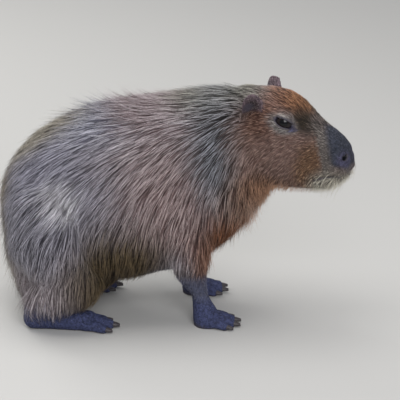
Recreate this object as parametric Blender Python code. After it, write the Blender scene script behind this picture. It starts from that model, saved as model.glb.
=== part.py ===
# A life-size sitting capybara, as a still museum model.
# Metres, +Z up, +X the way the body faces, +Y the animal's left.
# The floor is Z = 0. The body is modelled whole and parted with thin cuts.

import math
import random

import bmesh
import bpy
from mathutils import Matrix, Vector
from mathutils.bvhtree import BVHTree

GAP = 0.0003

# How far flesh and short under-coat lie below the outline of the coat's tips
COAT_BODY = 0.0065
COAT_LEG = 0.0040
COAT_HEAD = 0.0010

# Fineness of the one blended form, and triangles kept after thinning
VOXEL = 0.0025
BODY_TRIANGLES = 1800
HEAD_TRIANGLES = 2500
RING_POINTS = 32
SPARE = 0.006

# Locks of the long coat: how many are tried, how far apart, and their sizes
LOCK_SEED = 13
LOCK_SOLVER = "EXACT"
LOCK_TRIES = 6000
LOCK_SPACING = 0.0475
LOCK_LENGTH = 0.104
LOCK_WIDTH = 0.044
LOCK_THICK = 0.0046
LOCK_ROOT = -0.0050
LOCK_TIP_LIFT = 0.0035
SHORT_LOCK = 0.62
# Share of the length, width, height above the under-coat and thickness
LOCK_SHAPE = [(0.00, 0.70, 0.0, 1.0), (0.24, 1.00, 0.62, 1.0), (0.64, 0.66, 0.88, 0.8)]
LOCK_FACE_LIMIT = 0.050
LOCK_EAR_CLEAR = 0.040
LOCK_LOWEST = 0.006
FORELEG_BARE_BELOW = 0.118
HIND_LEG_BARE_BELOW = 0.075
BELLY_BARE_BELOW = 0.030
# How much locks differ, and where they are shorter: low on the body and on the throat
LOCK_LENGTH_SPREAD = 0.15
LOCK_WIDTH_SPREAD = 0.12
LOCK_LIFT_SPREAD = (-0.5, 1.6)
LOCK_SWERVE = math.radians(10.0)
LOCK_EDGE_DROP = 0.25
SHORT_BELOW = 0.14
SHORT_AHEAD_OF = 0.05
SHORT_LOCK_WIDTH = 0.85
# Edges of the long coat at the face, behind the foreleg and on the hind leg
FACE_EDGE_LEAN = 0.35
FACE_FROM = 0.05
EAR_MIDDLE_AHEAD = 0.012
TRUNK_BEHIND = -0.10
ELBOW_BEHIND = -0.07
HIND_LEG_OUT = 0.070
# How steeply the coat slants down at a height on the body
LIE_SLANT = [(0.06, 86.0), (0.14, 80.0), (0.20, 64.0), (0.24, 54.0), (0.31, 34.0), (0.36, 20.0),
             (0.39, 10.0), (0.42, 3.0)]
THROAT_SLANT = 20.0
STEEPEST = 86.0

# Outline of trunk and neck, out to the tips of the coat:
# top (x, z), bottom (x, z), half width, sideways shift of the middle
BODY_LINE = [
    ((-0.330, 0.240), (-0.330, 0.150), 0.036, 0.000),
    ((-0.321, 0.268), (-0.320, 0.080), 0.072, 0.000),
    ((-0.301, 0.298), (-0.300, 0.014), 0.096, 0.000),
    ((-0.276, 0.324), (-0.275, -0.006), 0.110, 0.000),
    ((-0.236, 0.350), (-0.235, -0.006), 0.121, 0.000),
    ((-0.196, 0.368), (-0.195, 0.020), 0.127, 0.000),
    ((-0.150, 0.381), (-0.145, 0.057), 0.131, 0.000),
    ((-0.100, 0.388), (-0.095, 0.063), 0.129, 0.000),
    ((-0.055, 0.395), (-0.045, 0.070), 0.123, 0.000),
    ((-0.015, 0.402), (0.000, 0.094), 0.115, 0.000),
    ((0.018, 0.407), (0.042, 0.126), 0.104, 0.000),
    ((0.042, 0.410), (0.080, 0.164), 0.093, -0.003),
    ((0.060, 0.409), (0.112, 0.202), 0.080, -0.009),
    ((0.076, 0.403), (0.132, 0.234), 0.068, -0.018),
]
BODY_POWER = 2.15
BODY_WIDE_AT = 0.44

# The head's own frame: its base point, and how it is turned and dipped
HEAD_BASE = Vector((0.060, 0.0, 0.345))
HEAD_TURN = math.radians(22.0)
HEAD_DIP = math.radians(14.0)

# Head outline: distance forward, top, bottom, half width, squareness
HEAD_LINE = [
    (-0.020, 0.050, -0.080, 0.044, 2.1),
    (0.004, 0.070, -0.096, 0.056, 2.2),
    (0.028, 0.077, -0.100, 0.062, 2.2),
    (0.054, 0.083, -0.097, 0.064, 2.3),
    (0.077, 0.085, -0.091, 0.062, 2.3),
    (0.097, 0.081, -0.084, 0.058, 2.4),
    (0.116, 0.072, -0.079, 0.053, 2.5),
    (0.135, 0.061, -0.073, 0.048, 2.6),
    (0.153, 0.052, -0.067, 0.0445, 2.8),
    (0.171, 0.046, -0.061, 0.0425, 2.9),
    (0.187, 0.039, -0.054, 0.041, 2.9),
    (0.200, 0.030, -0.045, 0.038, 2.8),
    (0.209, 0.019, -0.033, 0.032, 2.6),
    (0.2155, 0.009, -0.019, 0.021, 2.3),
]
HEAD_WIDE_AT = 0.44
HEAD_TOP_PINCH = 0.05

# Eyes: where the middle of the lids lies, and the way each eye looks
EYE_AT = (0.0970, 0.0478, 0.0500)
EYE_LOOK = (0.20, 0.22, 0.95)
EYE_RADIUS = 0.0165
LID_THICK = 0.0022
LID_OPENING = (0.0345, 0.0195)
LID_TILT = math.radians(-7.0)
LID_ARCH = 1.3
EYE_PROUD = 0.0035
EYE_CELLS = (14, 9)

# Ears: middle of the root, the way each stands (-1 is the right ear, 1 the left), the way it spreads,
# half width, height above the root, cup depth
EAR_AT = (0.038, 0.046, 0.050)
EAR_UP = {-1: (-0.05, 0.88, 0.42), 1: (-0.42, 0.82, 0.42)}
EAR_ALONG = (0.84, 0.35, -0.42)
EAR_HALF_WIDTH = 0.0180
EAR_HEIGHT = {-1: 0.043, 1: 0.038}
EAR_ROOT = 0.012
EAR_CUP = 0.0085
EAR_THICK = 0.0034
# How round the ear is, how wide its tip, and how the tip curls out and its corners drop
EAR_ROUND = 0.32
EAR_TIP_WIDTH = 0.76
EAR_TIP_CURL = 0.004
EAR_TIP_DROP = 0.006
EAR_EDGE_THIN = 0.5
EAR_CELLS = 6

# Nostrils, mouth and lips: points forward, up and out on the muzzle
NOSTRIL = [(0.206, 0.020, 0.017), (0.206, 0.014, 0.022), (0.204, 0.010, 0.024)]
NOSTRIL_FOLD = [(0.190, 0.026, 0.026), (0.186, 0.014, 0.036), (0.190, 0.001, 0.036), (0.203, -0.003, 0.026)]
MOUTH = [(0.2155, -0.014, 0.000), (0.210, -0.015, 0.016), (0.197, -0.019, 0.033), (0.181, -0.028, 0.041),
         (0.170, -0.037, 0.041)]
CLEFT = [(0.2155, 0.004, 0.0), (0.2155, -0.013, 0.0)]
LIP_STEP = 0.0065
# Reach of each groove in the face, and its depth, or its rise where negative
UPPER_LIP = (0.0090, -0.0022)
LOWER_LIP = (0.0080, -0.0018)
MOUTH_GROOVE = (0.0052, 0.0036)
FOLD_GROOVE = (0.0050, 0.0022)
NOSTRIL_PIT = (0.0055, 0.0070)
LID_RIM = (0.0050, -0.0016)
LID_RIM_SCALE = 1.12
CLEFT_GROOVE = (0.0040, 0.0028)

# Foreleg: height, rear edge, front edge, sideways middle, half thickness
FORELEG_LINE = [
    (0.235, -0.080, 0.030, 0.052, 0.040),
    (0.190, -0.078, 0.028, 0.062, 0.040),
    (0.155, -0.068, 0.023, 0.070, 0.038),
    (0.125, -0.058, 0.017, 0.075, 0.032),
    (0.105, -0.048, 0.014, 0.076, 0.028),
    (0.085, -0.041, 0.013, 0.075, 0.024),
    (0.070, -0.028, 0.0135, 0.073, 0.020),
    (0.055, -0.0155, 0.0145, 0.072, 0.0165),
    (0.042, -0.014, 0.020, 0.071, 0.017),
    (0.026, -0.013, 0.030, 0.072, 0.021),
    (0.012, -0.013, 0.036, 0.074, 0.024),
    (-0.004, -0.011, 0.038, 0.075, 0.025),
]
LEFT_FORELEG_BACK = 0.020

# Toes: root and tip (forward, sideways), radius at root and tip
FORE_TOES = [
    ((0.018, 0.058), (0.044, 0.053), 0.0098, 0.0076),
    ((0.022, 0.069), (0.054, 0.069), 0.0105, 0.0082),
    ((0.022, 0.081), (0.053, 0.087), 0.0105, 0.0082),
    ((0.016, 0.091), (0.042, 0.101), 0.0096, 0.0074),
]
HIND_TOES = [
    ((-0.195, 0.078), (-0.166, 0.071), 0.0105, 0.0082),
    ((-0.192, 0.091), (-0.155, 0.092), 0.0118, 0.0092),
    ((-0.196, 0.104), (-0.165, 0.113), 0.0105, 0.0080),
]
TOE_TIP_HEIGHT = 0.75
KNUCKLE_RISE = 0.002
CLAW_LENGTH = 0.0085
# Rings of a claw: share of its reach, width, height and depth in toe radii
CLAW_RINGS = [(0.30, 0.70, 0.62, 0.40), (0.72, 0.64, 0.46, 0.50), (1.0, 0.30, 0.02, 0.50)]
CLAW_SIDES = 6

# Hind leg: haunch, thigh, shank and long foot as tapered tubes
HAUNCH = [(-0.268, 0.055, 0.200, 0.062), (-0.252, 0.074, 0.155, 0.074),
          (-0.230, 0.088, 0.112, 0.058), (-0.210, 0.095, 0.088, 0.042)]
SHANK = [(-0.212, 0.096, 0.086, 0.040), (-0.250, 0.092, 0.058, 0.038),
         (-0.276, 0.086, 0.030, 0.026)]
LONG_FOOT = [(-0.284, 0.086, 0.017, 0.020), (-0.255, 0.087, 0.015, 0.019),
             (-0.222, 0.089, 0.015, 0.021), (-0.192, 0.091, 0.012, 0.020)]

# Thin cuts between the nodes
HEAD_CUT_AT = (0.034, 0.0)
HEAD_CUT_LEAN = math.radians(30.0)
NECK_CUT_AT = Vector((0.022, 0.0, 0.290))
NECK_CUT_LEAN = math.radians(10.0)
FORELEG_CUT = [(-0.085, -0.03), (0.110, -0.03), (0.110, 0.080), (0.030, 0.128),
               (-0.050, 0.158), (-0.085, 0.140)]
FORELEG_CUT_INNER = 0.030
HIND_LEG_CUT = [(-0.380, -0.03), (-0.120, -0.03), (-0.120, 0.034), (-0.178, 0.070),
                (-0.176, 0.140), (-0.205, 0.215), (-0.262, 0.252), (-0.330, 0.235),
                (-0.380, 0.180)]
HIND_LEG_CUT_INNER = 0.056
CUT_OUTER = 0.30

COLOURS = {
    "torso": (0.20, 0.17, 0.16, 1.0), "neck": (0.16, 0.12, 0.10, 1.0), "head": (0.22, 0.13, 0.09, 1.0),
    "leg": (0.15, 0.13, 0.14, 1.0), "ear": (0.14, 0.12, 0.14, 1.0), "eye": (0.01, 0.01, 0.015, 1.0),
    "claw": (0.05, 0.05, 0.055, 1.0),
}


# Head frame


def head_axes():
    forward = Vector((math.cos(HEAD_DIP) * math.cos(HEAD_TURN), -math.cos(HEAD_DIP) * math.sin(HEAD_TURN),
                      -math.sin(HEAD_DIP)))
    left = Vector((math.sin(HEAD_TURN), math.cos(HEAD_TURN), 0.0))
    return forward, forward.cross(left), left


FORWARD, UP, LEFT = head_axes()


def head_point(ahead, high, left):
    return HEAD_BASE + FORWARD * ahead + UP * high + LEFT * left


def head_direction(ahead, high, left):
    return (FORWARD * ahead + UP * high + LEFT * left).normalized()


# Meshes


def add_object(name, bm):
    mesh = bpy.data.meshes.new(name)
    bm.to_mesh(mesh)
    bm.free()
    item = bpy.data.objects.new(name, mesh)
    bpy.context.scene.collection.objects.link(item)
    return item


def remove_object(item):
    mesh = item.data
    bpy.data.objects.remove(item)
    bpy.data.meshes.remove(mesh)


def copy_object(item, name):
    twin = item.copy()
    twin.data = item.data.copy()
    twin.name = name
    bpy.context.scene.collection.objects.link(twin)
    return twin


def settle(item):
    """Apply every modifier of an object to its mesh."""
    bpy.context.view_layer.update()
    graph = bpy.context.evaluated_depsgraph_get()
    mesh = bpy.data.meshes.new_from_object(item.evaluated_get(graph))
    old = item.data
    item.modifiers.clear()
    item.data = mesh
    bpy.data.meshes.remove(old)
    return item


def rounded(value, power):
    return math.copysign(abs(value) ** (2.0 / power), value)


def ring_between(top, bottom, half_width, side, wide_at, power, pinch=0.0):
    """A closed ring of points, widest part way up between two points."""
    middle = bottom + (top - bottom) * wide_at
    points = []
    for step in range(RING_POINTS):
        turn = math.tau * step / RING_POINTS
        across = rounded(math.cos(turn), power)
        along = rounded(math.sin(turn), power)
        reach = (top - middle) if along > 0 else (middle - bottom)
        narrowed = 1.0 - pinch * max(0.0, along)
        points.append(middle + side * (half_width * across * narrowed) + reach * along)
    return points


def loft(name, rings):
    """A closed skin over a row of rings with the same count of points."""
    bm = bmesh.new()
    rows = []
    for ring in rings:
        rows.append([bm.verts.new(point) for point in ring])
    for near, far in zip(rows, rows[1:]):
        for here in range(len(near)):
            following = (here + 1) % len(near)
            bm.faces.new((near[here], near[following], far[following], far[here]))
    bm.faces.new(list(reversed(rows[0])))
    bm.faces.new(rows[-1])
    bmesh.ops.recalc_face_normals(bm, faces=bm.faces)
    return add_object(name, bm)


def ball(name, centre, radius, across=16, around=10):
    bm = bmesh.new()
    bmesh.ops.create_uvsphere(bm, u_segments=across, v_segments=around, radius=radius)
    bmesh.ops.translate(bm, verts=bm.verts, vec=centre)
    return add_object(name, bm)


def tube(name, path):
    """A tapered tube with round ends through (x, y, z, radius) points."""
    rings = []
    first, last = Vector(path[0][:3]), Vector(path[-1][:3])
    for place, (x, y, z, radius) in enumerate(path):
        before = Vector(path[max(place - 1, 0)][:3])
        after = Vector(path[min(place + 1, len(path) - 1)][:3])
        ahead = (after - before).normalized()
        side = ahead.cross(Vector((0, 0, 1)))
        side = side.normalized() if side.length > 0.01 else Vector((0, 1, 0))
        lift = side.cross(ahead)
        middle = Vector((x, y, z))
        ring = []
        for step in range(RING_POINTS):
            turn = math.tau * step / RING_POINTS
            ring.append(middle + side * (radius * math.cos(turn)) + lift * (radius * math.sin(turn)))
        rings.append(ring)
    pieces = [loft(name, rings)]
    pieces.append(ball(name + "_start", first, path[0][3]))
    pieces.append(ball(name + "_end", last, path[-1][3]))
    return pieces


# The forms of the body


def body_form():
    rings = []
    for top, bottom, half_width, shift in BODY_LINE:
        high = Vector((top[0], shift, top[1]))
        low = Vector((bottom[0], shift, bottom[1]))
        inward = (high - low).normalized() * COAT_BODY
        rings.append(ring_between(high - inward, low + inward, half_width - COAT_BODY, Vector((0, 1, 0)),
                                  BODY_WIDE_AT, BODY_POWER))
    return [loft("body_form", rings)]


def head_form():
    rings = []
    for ahead, top, bottom, half_width, power in HEAD_LINE:
        high = head_point(ahead, top - COAT_HEAD, 0.0)
        low = head_point(ahead, bottom + COAT_HEAD, 0.0)
        rings.append(ring_between(high, low, half_width - COAT_HEAD, LEFT, HEAD_WIDE_AT, power, HEAD_TOP_PINCH))
    return [loft("head_form", rings)]


def eye_centre(side):
    ahead, high, out = EYE_AT
    return head_point(ahead, high, out * side) - eye_look(side) * (EYE_RADIUS - EYE_PROUD)


def eye_look(side):
    ahead, high, out = EYE_LOOK
    return head_direction(ahead, high, out * side)


def lid_forms():
    forms = []
    for side in (-1, 1):
        forms.append(ball("lid_form", eye_centre(side), EYE_RADIUS + LID_THICK, 24, 16))
    return forms


def foreleg_form(side):
    back = LEFT_FORELEG_BACK if side > 0 else 0.0
    rings = []
    for height, rear, front, out, half in FORELEG_LINE:
        trim = COAT_LEG if height > 0.08 else 0.0
        high = Vector((front - back - trim, out * side, height))
        low = Vector((rear - back + trim, out * side, height))
        rings.append(ring_between(high, low, half - trim, Vector((0, 1, 0)), 0.5, 2.0))
    forms = [loft("foreleg_form", rings)]
    for root, tip, wide, narrow in FORE_TOES:
        forms += toe_form(root, tip, wide, narrow, side, back)
    return forms


def toe_path(root, tip, wide, narrow, side, back):
    """Root, knuckle and tip of a toe that rests on the floor."""
    start = Vector((root[0] - back, root[1] * side, wide))
    end = Vector((tip[0] - back, tip[1] * side, narrow * TOE_TIP_HEIGHT))
    knuckle = start.lerp(end, 0.5) + Vector((0, 0, KNUCKLE_RISE))
    return [(*start, wide), (*knuckle, (wide + narrow) / 2), (*end, narrow)]


def toe_form(root, tip, wide, narrow, side, back):
    return tube("toe_form", toe_path(root, tip, wide, narrow, side, back))


def hind_leg_form(side):
    forms = []
    for path in (HAUNCH, SHANK, LONG_FOOT):
        trim = COAT_LEG if path is HAUNCH else 0.0
        forms += tube("hind_form", [(x, y * side, z, radius - trim) for x, y, z, radius in path])
    for root, tip, wide, narrow in HIND_TOES:
        forms += toe_form(root, tip, wide, narrow, side, 0.0)
    return forms


def blended_body():
    """Every form of flesh as one smooth closed mesh."""
    forms = body_form() + head_form() + lid_forms()
    for side in (-1, 1):
        forms += foreleg_form(side) + hind_leg_form(side)
    bm = bmesh.new()
    for form in forms:
        bm.from_mesh(form.data)
        remove_object(form)
    whole = add_object("whole", bm)
    remesh = whole.modifiers.new("blend", "REMESH")
    remesh.mode = "VOXEL"
    remesh.voxel_size = VOXEL
    soften = whole.modifiers.new("soften", "SMOOTH")
    soften.factor = 0.5
    soften.iterations = 6
    return settle(whole)


# Cuts


def halve(item, point, normal):
    """Keep the side of a plane that its normal points to, and close the cut."""
    bm = bmesh.new()
    bm.from_mesh(item.data)
    everything = bm.verts[:] + bm.edges[:] + bm.faces[:]
    cut = bmesh.ops.bisect_plane(bm, geom=everything, plane_co=point, plane_no=normal, clear_inner=True)
    rim = [part for part in cut["geom_cut"] if isinstance(part, bmesh.types.BMEdge)]
    bmesh.ops.holes_fill(bm, edges=rim, sides=0)
    bmesh.ops.triangulate(bm, faces=bm.faces)
    bm.to_mesh(item.data)
    bm.free()
    return item


def slice_off(item, point, normal):
    """Keep the side of a plane that its normal points to, on a coat of locks."""
    bm = bmesh.new()
    bmesh.ops.create_cube(bm, size=2.0)
    bmesh.ops.translate(bm, verts=bm.verts, vec=(0, 0, 1.0))
    block = add_object("block", bm)
    block.data.transform(normal.to_track_quat("Z", "Y").to_matrix().to_4x4())
    block.data.transform(Matrix.Translation(point))
    boolean(item, block, "INTERSECT")
    remove_object(block)
    return keep_largest(item)


def thin(item, triangles):
    count = sum(len(face.vertices) - 2 for face in item.data.polygons)
    modifier = item.modifiers.new("thin", "DECIMATE")
    modifier.ratio = min(1.0, triangles / count)
    modifier.use_collapse_triangulate = True
    return settle(item)


def grown(points, by):
    """A closed outline in the plane, moved outward by a small distance."""
    count = len(points)
    area = sum(points[i][0] * points[(i + 1) % count][1] - points[(i + 1) % count][0] * points[i][1]
               for i in range(count))
    turn = 1.0 if area > 0 else -1.0
    result = []
    for place in range(count):
        here = Vector(points[place])
        into = (here - Vector(points[place - 1])).normalized()
        out = (Vector(points[(place + 1) % count]) - here).normalized()
        normal_in = Vector((into.y, -into.x)) * turn
        normal_out = Vector((out.y, -out.x)) * turn
        bisector = (normal_in + normal_out).normalized()
        result.append(here + bisector * (by / max(0.2, bisector.dot(normal_in))))
    return result


def side_cutter(outline, inner, side, by):
    """A block with an outline in the X-Z plane, on one side of the body."""
    near = [Vector((x, side * (inner - by), z)) for x, z in grown(outline, by)]
    far = [Vector((point.x, side * CUT_OUTER, point.z)) for point in near]
    cutter = loft("cutter", [near, far])
    cutter.hide_render = True
    return cutter


def boolean(item, other, operation, solver="EXACT"):
    modifier = item.modifiers.new(operation.lower(), "BOOLEAN")
    modifier.operation = operation
    modifier.solver = solver
    modifier.object = other
    return settle(item)


def keep_largest(item):
    """Keep the closed surface that holds the most space."""
    bm = bmesh.new()
    bm.from_mesh(item.data)
    bmesh.ops.dissolve_degenerate(bm, dist=1e-6, edges=bm.edges)
    bmesh.ops.triangulate(bm, faces=bm.faces)
    unseen = set(bm.faces)
    groups = []
    while unseen:
        group = []
        front = [unseen.pop()]
        while front:
            face = front.pop()
            group.append(face)
            for edge in face.edges:
                if len(edge.link_faces) == 2:
                    for neighbour in edge.link_faces:
                        if neighbour in unseen:
                            unseen.remove(neighbour)
                            front.append(neighbour)
        groups.append(group)
    groups.sort(key=held_space, reverse=True)
    for group in groups[1:]:
        bmesh.ops.delete(bm, geom=group, context="FACES")
    bm.to_mesh(item.data)
    bm.free()
    return item


def held_space(faces):
    space = 0.0
    for face in faces:
        a, b, c = (vert.co for vert in face.verts)
        space += a.dot(b.cross(c)) / 6.0
    return space


def part_off(whole, name, outline, inner, side):
    """Cut a leg off the whole body, leaving a thin gap between the two."""
    piece = copy_object(whole, name)
    tight = side_cutter(outline, inner, side, 0.0)
    boolean(piece, tight, "INTERSECT")
    keep_largest(piece)
    wide = side_cutter(outline, inner, side, GAP)
    boolean(whole, wide, "DIFFERENCE")
    keep_largest(whole)
    remove_object(tight)
    remove_object(wide)
    return piece


def cut_clear(item, neighbour):
    """Cut an object back to the surface of its neighbour, less the gap."""
    shell = copy_object(neighbour, "shell")
    swell = shell.modifiers.new("swell", "DISPLACE")
    swell.strength = GAP
    swell.mid_level = 0.0
    settle(shell)
    boolean(item, shell, "DIFFERENCE")
    keep_largest(item)
    remove_object(shell)
    return item


# The long coat


def lie_of_coat(point, normal):
    """The way the coat lies at a place: back along the body and down."""
    slant = LIE_SLANT[0][1]
    for (low, low_slant), (high, high_slant) in zip(LIE_SLANT, LIE_SLANT[1:]):
        if point.z > low:
            share = min(1.0, (point.z - low) / (high - low))
            slant = low_slant + (high_slant - low_slant) * share
    slant += THROAT_SLANT * min(1.0, max(0.0, point.x / 0.08))
    slant = math.radians(min(slant, STEEPEST))
    lie = Vector((-math.cos(slant), 0.0, -math.sin(slant)))
    lie -= normal * lie.dot(normal)
    return lie.normalized() if lie.length > 0.05 else Vector((0, 0, -1))


def grows_long(point):
    """True where the coat is long: not on the face, the ears or the feet."""
    local = point - HEAD_BASE
    ahead, high, out = local.dot(FORWARD), local.dot(UP), local.dot(LEFT)
    if ahead > LOCK_FACE_LIMIT - FACE_EDGE_LEAN * high and point.x > FACE_FROM:
        return False
    for side in (-1, 1):
        ear_middle = head_point(EAR_AT[0] + EAR_MIDDLE_AHEAD, EAR_AT[1], EAR_AT[2] * side)
        if (point - ear_middle).length < LOCK_EAR_CLEAR:
            return False
    if point.x > TRUNK_BEHIND:
        return point.z > FORELEG_BARE_BELOW or point.x < ELBOW_BEHIND
    if abs(point.y) > HIND_LEG_OUT:
        return point.z > HIND_LEG_BARE_BELOW
    return point.z > BELLY_BARE_BELOW


def coat_roots(surface):
    """Evenly spread, seeded places on the surface where locks are rooted."""
    draw = random.Random(LOCK_SEED)
    triangles = [[vert.co.copy() for vert in face.verts] for face in surface.faces]
    areas = [face.calc_area() for face in surface.faces]
    roots = []
    for a, b, c in draw.choices(triangles, weights=areas, k=LOCK_TRIES):
        first, second = draw.random(), draw.random()
        if first + second > 1.0:
            first, second = 1.0 - first, 1.0 - second
        point = a + (b - a) * first + (c - a) * second
        if grows_long(point) and all((point - other).length > LOCK_SPACING for other in roots):
            roots.append(point)
    return roots


def lock(name, tree, root, draw):
    """One flat tapered lock that bends along the body and lifts at its tip."""
    length = LOCK_LENGTH * draw.uniform(1.0 - LOCK_LENGTH_SPREAD, 1.0 + LOCK_LENGTH_SPREAD)
    width = LOCK_WIDTH * draw.uniform(1.0 - LOCK_WIDTH_SPREAD, 1.0 + LOCK_WIDTH_SPREAD)
    lift = LOCK_TIP_LIFT * draw.uniform(*LOCK_LIFT_SPREAD)
    swerve = draw.uniform(-LOCK_SWERVE, LOCK_SWERVE)
    if root.z < SHORT_BELOW or root.x > SHORT_AHEAD_OF:
        length *= SHORT_LOCK
        width *= SHORT_LOCK_WIDTH
    point, normal = tree.find_nearest(root)[:2]
    rings = []
    travelled = 0.0
    for share, wide, rise, thick in LOCK_SHAPE:
        point, normal, ahead = along_coat(tree, point, normal, length * (share - travelled), swerve)
        travelled = share
        across = normal.cross(ahead)
        height = LOCK_ROOT + (COAT_BODY - LOCK_ROOT) * rise
        ring = []
        for offset, above in ((-0.5, 0.0), (0.0, 0.5), (0.5, 0.0), (0.0, -0.5)):
            spot = point + across * (width * wide * offset)
            base, facing = tree.find_nearest(spot)[:2]
            edge_drop = LOCK_EDGE_DROP * COAT_BODY * rise if offset else 0.0
            ring.append(base + facing * (height - edge_drop + LOCK_THICK * thick * above))
        rings.append(above_floor(ring))
    point, normal, ahead = along_coat(tree, point, normal, length * (1.0 - travelled), swerve)
    tip = above_floor([point + normal * (COAT_BODY + lift)])[0]
    bm = bmesh.new()
    rows = [[bm.verts.new(spot) for spot in ring] for ring in rings]
    for near, far in zip(rows, rows[1:]):
        for here in range(4):
            following = (here + 1) % 4
            bm.faces.new((near[here], near[following], far[following], far[here]))
    end = bm.verts.new(tip)
    for here in range(4):
        bm.faces.new((rows[-1][here], rows[-1][(here + 1) % 4], end))
    bm.faces.new(list(reversed(rows[0])))
    bmesh.ops.triangulate(bm, faces=bm.faces)
    bmesh.ops.recalc_face_normals(bm, faces=bm.faces)
    return add_object(name, bm)


def along_coat(tree, point, normal, distance, swerve):
    """Walk over the surface along the lie, in two short steps."""
    ahead = turned_lie(point, normal, swerve)
    for step in range(2):
        point, normal = tree.find_nearest(point + ahead * (distance / 2))[:2]
        ahead = turned_lie(point, normal, swerve)
    return point, normal, ahead


def turned_lie(point, normal, swerve):
    return Matrix.Rotation(swerve, 3, normal) @ lie_of_coat(point, normal)


def above_floor(ring):
    """Raise a whole ring of points until its lowest is clear of the floor."""
    rise = max(0.0, LOCK_LOWEST - min(point.z for point in ring))
    return [point + Vector((0, 0, rise)) for point in ring]


def dress(item, roots, tree, draw):
    """Fuse every lock rooted on an object into it, in one union."""
    group = bpy.data.collections.new("locks")
    bpy.context.scene.collection.children.link(group)
    for root in roots:
        piece = lock("lock", tree, root, draw)
        bpy.context.scene.collection.objects.unlink(piece)
        group.objects.link(piece)
    modifier = item.modifiers.new("coat", "BOOLEAN")
    modifier.operation = "UNION"
    modifier.operand_type = "COLLECTION"
    modifier.collection = group
    modifier.solver = LOCK_SOLVER
    settle(item)
    for piece in list(group.objects):
        remove_object(piece)
    bpy.data.collections.remove(group)
    return keep_largest(item)


# Head details


def almond_ring(side, distance, scale, count=16):
    """Points round the opening of the lids, this far along the line of sight."""
    look = eye_look(side)
    along = (FORWARD - look * FORWARD.dot(look)).normalized()
    across = along.cross(look) * side
    ring = []
    for step in range(count):
        turn = math.tau * step / count
        x = LID_OPENING[0] / 2 * scale * math.cos(turn)
        y = LID_OPENING[1] / 2 * scale * math.copysign(abs(math.sin(turn)) ** LID_ARCH, math.sin(turn))
        over = x * math.cos(LID_TILT) - y * math.sin(LID_TILT)
        rise = x * math.sin(LID_TILT) + y * math.cos(LID_TILT)
        ring.append(eye_centre(side) + look * distance + along * over + across * rise)
    return ring


def almond_cutter(side):
    """The opening between the lids, along the line of sight."""
    return loft("almond", [almond_ring(side, 0.001, 1.0), almond_ring(side, 0.045, 1.0)])


def eye(side, name):
    bm = bmesh.new()
    bmesh.ops.create_uvsphere(bm, u_segments=EYE_CELLS[0], v_segments=EYE_CELLS[1], radius=EYE_RADIUS)
    bmesh.ops.rotate(bm, verts=bm.verts, matrix=eye_look(side).to_track_quat("Z", "Y").to_matrix())
    bmesh.ops.translate(bm, verts=bm.verts, vec=eye_centre(side))
    return add_object(name, bm)


def open_eye(head, side):
    almond = almond_cutter(side)
    boolean(head, almond, "DIFFERENCE")
    socket = eye(side, "socket")
    centre = eye_centre(side)
    for vert in socket.data.vertices:
        vert.co = centre + (vert.co - centre) * (1.0 + 2.0 * GAP / EYE_RADIUS)
    boolean(head, socket, "DIFFERENCE")
    keep_largest(head)
    remove_object(almond)
    remove_object(socket)


def ear(side, name):
    """A small round cup that stands up from the head and opens outward."""
    root = head_point(EAR_AT[0], EAR_AT[1], EAR_AT[2] * side)
    ahead, high, outward = EAR_UP[side]
    tall = head_direction(ahead, high, outward * side)
    wide = head_direction(EAR_ALONG[0], EAR_ALONG[1], EAR_ALONG[2] * side)
    wide = (wide - tall * wide.dot(tall)).normalized()
    out = wide.cross(tall) * -side
    rows = columns = EAR_CELLS
    bm = bmesh.new()
    sheets = []
    for layer in (0, 1):
        sheet = []
        for row in range(rows + 1):
            share = math.sin(math.pi / 2 * row / rows)
            half = EAR_HALF_WIDTH * max(EAR_TIP_WIDTH, math.cos(math.pi / 2 * row / rows) ** EAR_ROUND)
            line = []
            for column in range(columns + 1):
                across = 2.0 * column / columns - 1.0
                rise = EAR_CUP * across ** 2 * (1.0 - 0.4 * share) + EAR_TIP_CURL * share ** 3
                edge = max(abs(across), share)
                thick = EAR_THICK * (1.0 - EAR_EDGE_THIN * edge ** 4) * layer
                drop = EAR_TIP_DROP * share ** 3 * across ** 2
                height = (EAR_HEIGHT[side] + EAR_ROOT) * share - EAR_ROOT - drop
                point = root + tall * height + wide * (half * across) + out * (rise - thick)
                line.append(bm.verts.new(point))
            sheet.append(line)
        sheets.append(sheet)
    for sheet in sheets:
        for row in range(rows):
            for column in range(columns):
                bm.faces.new((sheet[row][column], sheet[row][column + 1], sheet[row + 1][column + 1],
                              sheet[row + 1][column]))
    rims = [sheet_rim(sheet, rows, columns) for sheet in sheets]
    for here in range(len(rims[0])):
        following = (here + 1) % len(rims[0])
        bm.faces.new((rims[0][here], rims[0][following], rims[1][following], rims[1][here]))
    bmesh.ops.recalc_face_normals(bm, faces=bm.faces)
    bmesh.ops.triangulate(bm, faces=bm.faces)
    return add_object(name, bm)


def sheet_rim(sheet, rows, columns):
    rim = [sheet[0][column] for column in range(columns)]
    rim += [sheet[row][columns] for row in range(rows)]
    rim += [sheet[rows][column] for column in range(columns, 0, -1)]
    rim += [sheet[row][0] for row in range(rows, 0, -1)]
    return rim


def press(item, path, width, depth):
    """Push a groove into a surface along a path, or raise a ridge."""
    bm = bmesh.new()
    bm.from_mesh(item.data)
    bm.normal_update()
    tree = BVHTree.FromBMesh(bm)
    line = [tree.find_nearest(point)[0] for point in refined(path)]
    for vert in bm.verts:
        nearest = min((vert.co - point).length_squared for point in line)
        if nearest < width * width:
            share = 1.0 - nearest / (width * width)
            vert.co -= vert.normal * (depth * share * share)
    bm.to_mesh(item.data)
    bm.free()


def refined(path, step=0.0015):
    points = []
    for near, far in zip(path, path[1:]):
        count = max(1, int((far - near).length / step))
        points += [near.lerp(far, share / count) for share in range(count)]
    return points + [path[-1]]


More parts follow.
